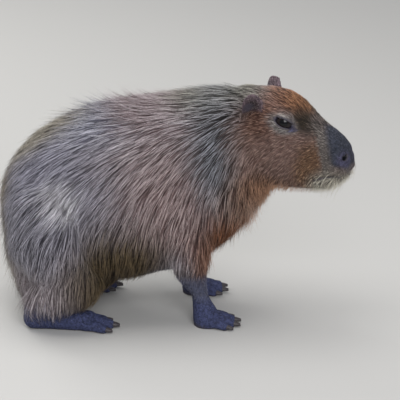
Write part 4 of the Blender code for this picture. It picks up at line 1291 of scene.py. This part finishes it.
def strand_tree(name, segments):
    """Tapered strands that walk over the skin along the lie of the coat, or grow free of it."""
    tree, inlet, outlet = new_tree(name, "GeometryNodeTree", STRAND_INLETS, [("Coat", "Geometry")])
    roots = measure_strands(tree, inlet, *scatter_roots(tree, inlet))
    roots = walk(tree, inlet, roots, segments)
    strands = mark_strands(tree, *raise_strands(tree, inlet, roots, segments))
    strands = add_node(tree, "GeometryNodeSetShadeSmooth", {"Geometry": strands}).outputs[0]
    given = {"Geometry": strands, "Material": inlet["Finish"]}
    join(tree, outlet["Coat"], add_node(tree, "GeometryNodeSetMaterial", given).outputs[0])
    return tree


def by_ring(tree, ring, name, segments):
    """The stored vector of the ring that a point of a strand belongs to."""
    switch = add_node(tree, "GeometryNodeIndexSwitch", data_type="VECTOR")
    while len(switch.index_switch_items) < segments + 1:
        switch.index_switch_items.new()
    join(tree, switch.inputs[0], ring)
    for step in range(segments + 1):
        join(tree, switch.inputs[step + 1], named(tree, f"{name}_{step}", "FLOAT_VECTOR"))
    return switch.outputs[0]


def grow(name, skin, tree, sizes):
    """Run a coat tree over a copy of the skin and keep its result as a plain mesh."""
    item = bpy.data.objects.new(name, skin.data.copy())
    bpy.context.scene.collection.objects.link(item)
    modifier = item.modifiers.new("coat", "NODES")
    modifier.node_group = tree
    for entry in tree.interface.items_tree:
        if entry.in_out == "INPUT" and entry.name in sizes:
            modifier[entry.identifier] = sizes[entry.name]
    return settle(item)


# Finishes


def new_finish(name, **constants):
    material = bpy.data.materials.new(name)
    material.use_nodes = True
    shader = material.node_tree.nodes["Principled BSDF"]
    for socket, value in constants.items():
        shader.inputs[socket.replace("_", " ")].default_value = value
    return material, material.node_tree, shader


def read(tree, name, output="Color"):
    return add_node(tree, "ShaderNodeAttribute", attribute_name=name).outputs[output]


def mixed(tree, share, first, second, way="MIX"):
    node = add_node(tree, "ShaderNodeMix", {0: share, 6: first, 7: second}, data_type="RGBA", blend_type=way)
    return node.outputs[2]


def ranged(tree, value, low, high, first=0.0, last=1.0):
    given = {0: value, 1: low, 2: high, 3: first, 4: last}
    return add_node(tree, "ShaderNodeMapRange", given, interpolation_type="SMOOTHSTEP").outputs[0]


def noise(tree, scale, detail=3.0, place=None):
    place = place or tree.nodes.new("ShaderNodeTexCoord").outputs["Object"]
    given = {"Vector": place, "Scale": scale, "Detail": detail}
    return add_node(tree, "ShaderNodeTexNoise", given).outputs[0]


def group_in(tree, group, given):
    node = add_node(tree, "ShaderNodeGroup", node_tree=group)
    for name, value in given.items():
        join(tree, node.inputs[name], value)
    return node.outputs


# Where guard hairs and the tips of others turn pale along a strand, and where the root's dark ends
GUARD_PALE = (0.02, 0.30)
TIP_PALE = (0.45, 1.0)
ROOT_DARK_TO = 0.50
# How far guard hairs escape the painted shade of a gap, the weight of a clump's own tone, and a second draw
# from one
GUARD_ESCAPES = 0.6
CLUMP_SWING = 0.8
REDRAW = 57.0
# Darkest and palest share of the coat's tone in the under-coat
UNDERCOAT_SHADE = (0.22, 0.60)
# The eye against its radius: half sizes of the pupil, how soft its edge is, and where the iris begins
PUPIL = (0.44, 0.30)
PUPIL_EDGE = (0.8, 1.2)
IRIS_EDGE = (0.62, 0.74)


def hair_colour_group():
    """Dark at the root, darkened with painted shade between clumps, and pale for most of its length on guard
    hairs.
    """
    inlets = [("Tone", "Color"), ("Tip", "Color"), ("Tuft", "Vector"), ("Gap", "Float"), ("Root", "Float"),
              ("Deep", "Float"), ("Guard", "Float"), ("Pale", "Float"), ("Vary", "Float")]
    tree, inlet, outlet = new_tree("hair_colour", "ShaderNodeTree", inlets, [("Color", "Color")])
    along, own, shared = split_vector(tree, inlet["Tuft"])
    guard = number(tree, "GREATER_THAN", own, rest_of(tree, inlet["Guard"]))
    long_pale = times(tree, guard, ranged(tree, along, *GUARD_PALE))
    short_pale = times(tree, ranged(tree, along, *TIP_PALE), inlet["Pale"])
    shade = mixed(tree, number(tree, "MAXIMUM", long_pale, short_pale), inlet["Tone"], inlet["Tip"])
    rooted = ranged(tree, along, 0.0, ROOT_DARK_TO)
    dark = number(tree, "MULTIPLY_ADD", rooted, rest_of(tree, inlet["Root"]), inlet["Root"])
    # Painted shade in the gaps between clumps, which guard hairs partly escape
    shaded_gap = times(tree, inlet["Gap"], rest_of(tree, times(tree, guard, GUARD_ESCAPES)))
    dark = times(tree, dark, rest_of(tree, times(tree, shaded_gap, inlet["Deep"])))
    redrawn = number(tree, "SUBTRACT", number(tree, "FRACT", times(tree, own, REDRAW)), 0.5)
    swing = number(tree, "MULTIPLY_ADD", number(tree, "SUBTRACT", shared, 0.5), CLUMP_SWING, redrawn)
    light = number(tree, "MULTIPLY_ADD", swing, inlet["Vary"], 1.0)
    join(tree, outlet["Color"], mixed(tree, 1.0, shade, times(tree, dark, light), "MULTIPLY"))
    return tree


def coat_finish(name, group, guard, look):
    material, tree, shader = new_finish(name, Roughness=0.50, Specular_IOR_Level=0.35)
    given = {"Tone": read(tree, "tone"), "Tip": read(tree, "tip"), "Tuft": read(tree, "tuft", "Vector"),
             "Gap": read(tree, "gap", "Fac"), "Guard": guard}
    join(tree, shader.inputs["Base Color"], group_in(tree, group, dict(given, **look))["Color"])
    return material


def whisker_finish():
    """Whiskers are darker at the root and pale along the rest."""
    material, tree, shader = new_finish("whisker", Roughness=0.40, Specular_IOR_Level=0.4)
    along, own = split_vector(tree, read(tree, "tuft", "Vector"))[:2]
    root = mixed(tree, own, paint(96, 88, 84), paint(150, 142, 130))
    pale = mixed(tree, own, paint(196, 190, 176), paint(232, 226, 208))
    join(tree, shader.inputs["Base Color"], mixed(tree, ranged(tree, along, 0.0, 0.35), root, pale))
    return material


def skin_finish():
    """Under-coat where the coat grows, bare dark hide on nose, lips and lids, and painted shade in the
    nostrils and the mouth's groove.
    """
    material, tree, shader = new_finish("skin_and_undercoat", Specular_IOR_Level=0.35)
    bare = read(tree, "bare", "Fac")
    shaded = ranged(tree, noise(tree, 260.0), 0.3, 0.7, *UNDERCOAT_SHADE)
    under = mixed(tree, 1.0, read(tree, "tone"), shaded, "MULTIPLY")
    hide = mixed(tree, noise(tree, 90.0), paint(44, 41, 52), paint(78, 72, 82))
    # Painted shade: the hide turns near black in the nostrils and along the mouth's groove
    hide = mixed(tree, ranged(tree, read(tree, "pit", "Fac"), 0.25, 0.75), hide, paint(12, 12, 18))
    join(tree, shader.inputs["Base Color"], mixed(tree, bare, under, hide))
    join(tree, shader.inputs["Roughness"], ranged(tree, bare, 0.0, 1.0, 0.85, 0.48))
    grain = add_node(tree, "ShaderNodeTexVoronoi", {"Scale": 520.0}).outputs["Distance"]
    join(tree, grain.node.inputs["Vector"], tree.nodes.new("ShaderNodeTexCoord").outputs["Object"])
    height = number(tree, "ADD", grain, noise(tree, 420.0))
    bump = add_node(tree, "ShaderNodeBump", {"Strength": 0.5, "Distance": 0.0006, "Height": height})
    join(tree, shader.inputs["Normal"], bump.outputs[0])
    return material


def eye_finish():
    material, tree, shader = new_finish("eye", Roughness=0.07, Specular_IOR_Level=0.28)
    over, rise, deep = split_vector(tree, read(tree, "gaze", "Vector"))
    wide = number(tree, "POWER", number(tree, "DIVIDE", over, PUPIL[0]), 2.0)
    tall = number(tree, "POWER", number(tree, "DIVIDE", rise, PUPIL[1]), 2.0)
    pupil = ranged(tree, number(tree, "ADD", wide, tall), *PUPIL_EDGE, 1.0, 0.0)
    iris = ranged(tree, deep, *IRIS_EDGE)
    brown = mixed(tree, noise(tree, 700.0), paint(20, 15, 16), paint(34, 26, 26))
    shade = mixed(tree, pupil, mixed(tree, iris, paint(30, 28, 36), brown), paint(5, 5, 9))
    join(tree, shader.inputs["Base Color"], shade)
    return material


def claw_finish():
    material, tree, shader = new_finish("claw", Specular_IOR_Level=0.4)
    streaks = noise(tree, 380.0, 4.0)
    horn = mixed(tree, streaks, paint(38, 36, 42), paint(84, 78, 80))
    join(tree, shader.inputs["Base Color"], horn)
    join(tree, shader.inputs["Roughness"], ranged(tree, streaks, 0.3, 0.7, 0.35, 0.6))
    return material


# Eyes and claws


def eye(side, name, finish):
    look, along, across = eye_axes(side)
    item = ball(name, Vector((0, 0, 0)), EYE_RADIUS, 64, 40)
    item.data.transform(look.to_track_quat("Z", "Y").to_matrix().to_4x4())
    points = points_of(item) / EYE_RADIUS
    gaze = np.stack([points @ np.array(along), points @ np.array(across), points @ np.array(look)], axis=1)
    add_attribute(item.data, "gaze", "FLOAT_VECTOR", "POINT", "vector", gaze)
    item.data.transform(Matrix.Translation(eye_centre(side)))
    item.data.shade_smooth()
    item.data.materials.append(finish)
    return item


def claw(name, root, tip, narrow, side, back, finish):
    """A short blunt nail on the front of a toe, flat beneath."""
    end = Vector((tip[0] - back, tip[1] * side, narrow * TOE_LOW))
    start = Vector((root[0] - back, root[1] * side, narrow * TOE_LOW))
    ahead = (end - start).normalized()
    cross = ahead.cross(Vector((0, 0, 1))).normalized()
    rings = []
    for step in range(CLAW_RINGS + 1):
        share = step / CLAW_RINGS
        wide = (CLAW_WIDE[0] - CLAW_WIDE[1] * share) * math.sqrt(max(CLAW_BLUNT, 1.0 - share ** 3))
        high = CLAW_HIGH[0] - CLAW_HIGH[1] * share ** CLAW_SLOPE
        middle = end + ahead * ((narrow + CLAW_LENGTH) * (CLAW_SUNK + (1.0 - CLAW_SUNK) * share))
        ring = []
        for turn in range(CLAW_SIDES):
            angle = math.tau * turn / CLAW_SIDES
            lift = math.sin(angle) * narrow * (high if math.sin(angle) > 0 else CLAW_LOW)
            spot = middle + cross * (narrow * wide * math.cos(angle)) + Vector((0, 0, lift))
            spot.z = max(spot.z, FLOOR_CLEAR)
            ring.append(spot)
        rings.append(ring)
    item = loft(name, rings)
    item.data.shade_smooth()
    item.data.materials.append(finish)
    return item


# Stage


def build_floor():
    bm = bmesh.new()
    bmesh.ops.create_grid(bm, x_segments=1, y_segments=1, size=FLOOR_REACH)
    floor = add_object("floor", bm)
    floor.data.materials.append(new_finish("floor", Roughness=0.9, Base_Color=paint(192, 191, 188))[0])


def add_light(name, place, aim, size, power, tint):
    light = bpy.data.lights.new(name, "AREA")
    light.size = size
    light.energy = power
    light.color = tint
    lamp = bpy.data.objects.new(name, light)
    lamp.location = place
    lamp.rotation_euler = (Vector(aim) - Vector(place)).to_track_quat("-Z", "Y").to_euler()
    bpy.context.scene.collection.objects.link(lamp)


def light_studio():
    for softbox in SOFTBOXES:
        add_light(*softbox)
    world = bpy.data.worlds.new("studio")
    bpy.context.scene.world = world
    world.use_nodes = True
    back = world.node_tree.nodes["Background"]
    back.inputs["Color"].default_value = paint(214, 216, 220)
    back.inputs["Strength"].default_value = SKY_STRENGTH
    bpy.context.scene.view_settings.view_transform = "Standard"


def place_camera():
    camera = bpy.data.cameras.new("camera")
    camera.lens = CAMERA_LENS
    camera.sensor_width = 36.0
    holder = bpy.data.objects.new("camera", camera)
    aim = CAMERA_AIM + Vector((SHIFT.x, SHIFT.y, 0.0))
    back = Vector((0.0, -math.cos(CAMERA_RAISE), math.sin(CAMERA_RAISE)))
    holder.location = aim + back * CAMERA_DISTANCE
    holder.rotation_euler = (-back).to_track_quat("-Z", "Y").to_euler()
    bpy.context.scene.collection.objects.link(holder)
    bpy.context.scene.camera = holder


# The whole animal


LONG_COAT = {"Parts": "patch", "Where": "cover", "Long": "hair", "Strands": 160000.0, "Clumps": 34000.0,
             "Pull": 0.72, "Sway": 0.13, "Guard": 0.26, "Wider": 1.0}
FACE_COAT = dict(LONG_COAT, Strands=330000.0, Clumps=70000.0, Pull=0.50, Sway=0.18, Guard=0.25)
LEG_COAT = dict(LONG_COAT, Strands=180000.0, Clumps=45000.0, Pull=0.45, Sway=0.16, Guard=0.20)
FRINGE = dict(LONG_COAT, Parts="half", Where="fringe", Long="free_hair", Strands=150000.0, Pull=0.0,
              Sway=0.35, Rise=0.60, Sag=0.7, Free=1.0)
WHISKERS = dict(FRINGE, Where="whisker", Strands=9000.0, Sway=0.25, Wider=1.4, Rise=0.55, Sag=1.3)
CLUMPS = {"rump": 24000.0, "loin": 28000.0, "flank": 38000.0, "shoulder": 42000.0, "neck": 32000.0}
# Each look: the dark at the root, the weight of the painted shade between clumps, the share of pale tips,
# and the random spread of tone
LONG_LOOK = {"Root": 0.34, "Deep": 0.48, "Pale": 0.45, "Vary": 0.30}
SHORT_LOOK = {"Root": 0.64, "Deep": 0.50, "Pale": 0.40, "Vary": 0.24}
COAT_SLOTS = {"face": "coat_face", "foreleg": "coat_leg", "fringe": "coat_face", "whiskers": "coat_face"}
FLESH = ["head", "neck", "torso", "foreleg_right", "foreleg_left", "hind_leg_right", "hind_leg_left",
         "ear_right", "ear_left"]


def settle_in(item, slot, *nodes):
    """Set a finished piece over the solids, hang it from the root, and hide the solids that it stands for.
    """
    item.data.transform(Matrix.Translation(SHIFT))
    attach(item, "root")
    if nodes:
        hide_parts(*nodes)


def build_skin():
    skin = blended_skin()
    for side in (-1, 1):
        open_lids(skin, side)
    shape_face(skin)
    thin_skin(skin)
    skin.data.shade_smooth()
    paint_skin(skin)
    unwrap(skin)
    return skin


def build_coat(skin):
    hair = hair_colour_group()
    long_finish = coat_finish("long_coat", hair, LONG_COAT["Guard"], LONG_LOOK)
    face_finish = coat_finish("face_coat", hair, FACE_COAT["Guard"], SHORT_LOOK)
    leg_finish = coat_finish("leg_coat", hair, LEG_COAT["Guard"], SHORT_LOOK)
    long_tree, short_tree, free_tree = (strand_tree(f"strands_of_{count}", count) for count in (3, 2, 4))
    pieces = []
    for patch, name in enumerate(PATCHES):
        clumps = CLUMPS.get(name.split("_")[1], LONG_COAT["Clumps"])
        sizes, tree = dict(LONG_COAT, Finish=long_finish, Clumps=clumps), long_tree
        if "face" in name:
            sizes, tree = dict(FACE_COAT, Finish=face_finish), short_tree
        if "foreleg" in name or "foot" in name:
            sizes, tree = dict(LEG_COAT, Finish=leg_finish), short_tree
        pieces.append(grow(name, skin, tree, dict(sizes, Patch=patch, Seed=20 + patch)))
    loose = (("fringe", FRINGE, coat_finish("fringe_hair", hair, 1.0, SHORT_LOOK)),
             ("whiskers", WHISKERS, whisker_finish()))
    for half, word in enumerate(("right", "left")):
        for kind, sizes, finish in loose:
            sizes = dict(sizes, Patch=half, Seed=60 + half, Finish=finish)
            pieces.append(grow(f"{kind}_{word}", skin, free_tree, sizes))
    return pieces


def build():
    skin = build_skin()
    for piece in build_coat(skin):
        slot = next((COAT_SLOTS[word] for word in COAT_SLOTS if word in piece.name), "coat_body")
        settle_in(piece, slot)
    skin.data.materials.clear()
    skin.data.materials.append(skin_finish())
    settle_in(skin, "coat_body", *FLESH)
    eyes, nails = eye_finish(), claw_finish()
    for side, word in ((-1, "right"), (1, "left")):
        settle_in(eye(side, f"eyeball_{word}", eyes), "eye", f"eye_{word}")
        back = LEFT_FORELEG_BACK if side > 0 else 0.0
        for kind, toes, shift in (("foreclaw", FORE_TOES, back), ("hindclaw", HIND_TOES, 0.0)):
            for count, (root, tip, wide, narrow) in enumerate(toes, 1):
                nail = claw(f"nail_{kind}_{word}_{count}", root, tip, narrow, side, shift, nails)
                settle_in(nail, "claw", f"{kind}_{word}_{count}")
    build_floor()
    light_studio()
    place_camera()


build()
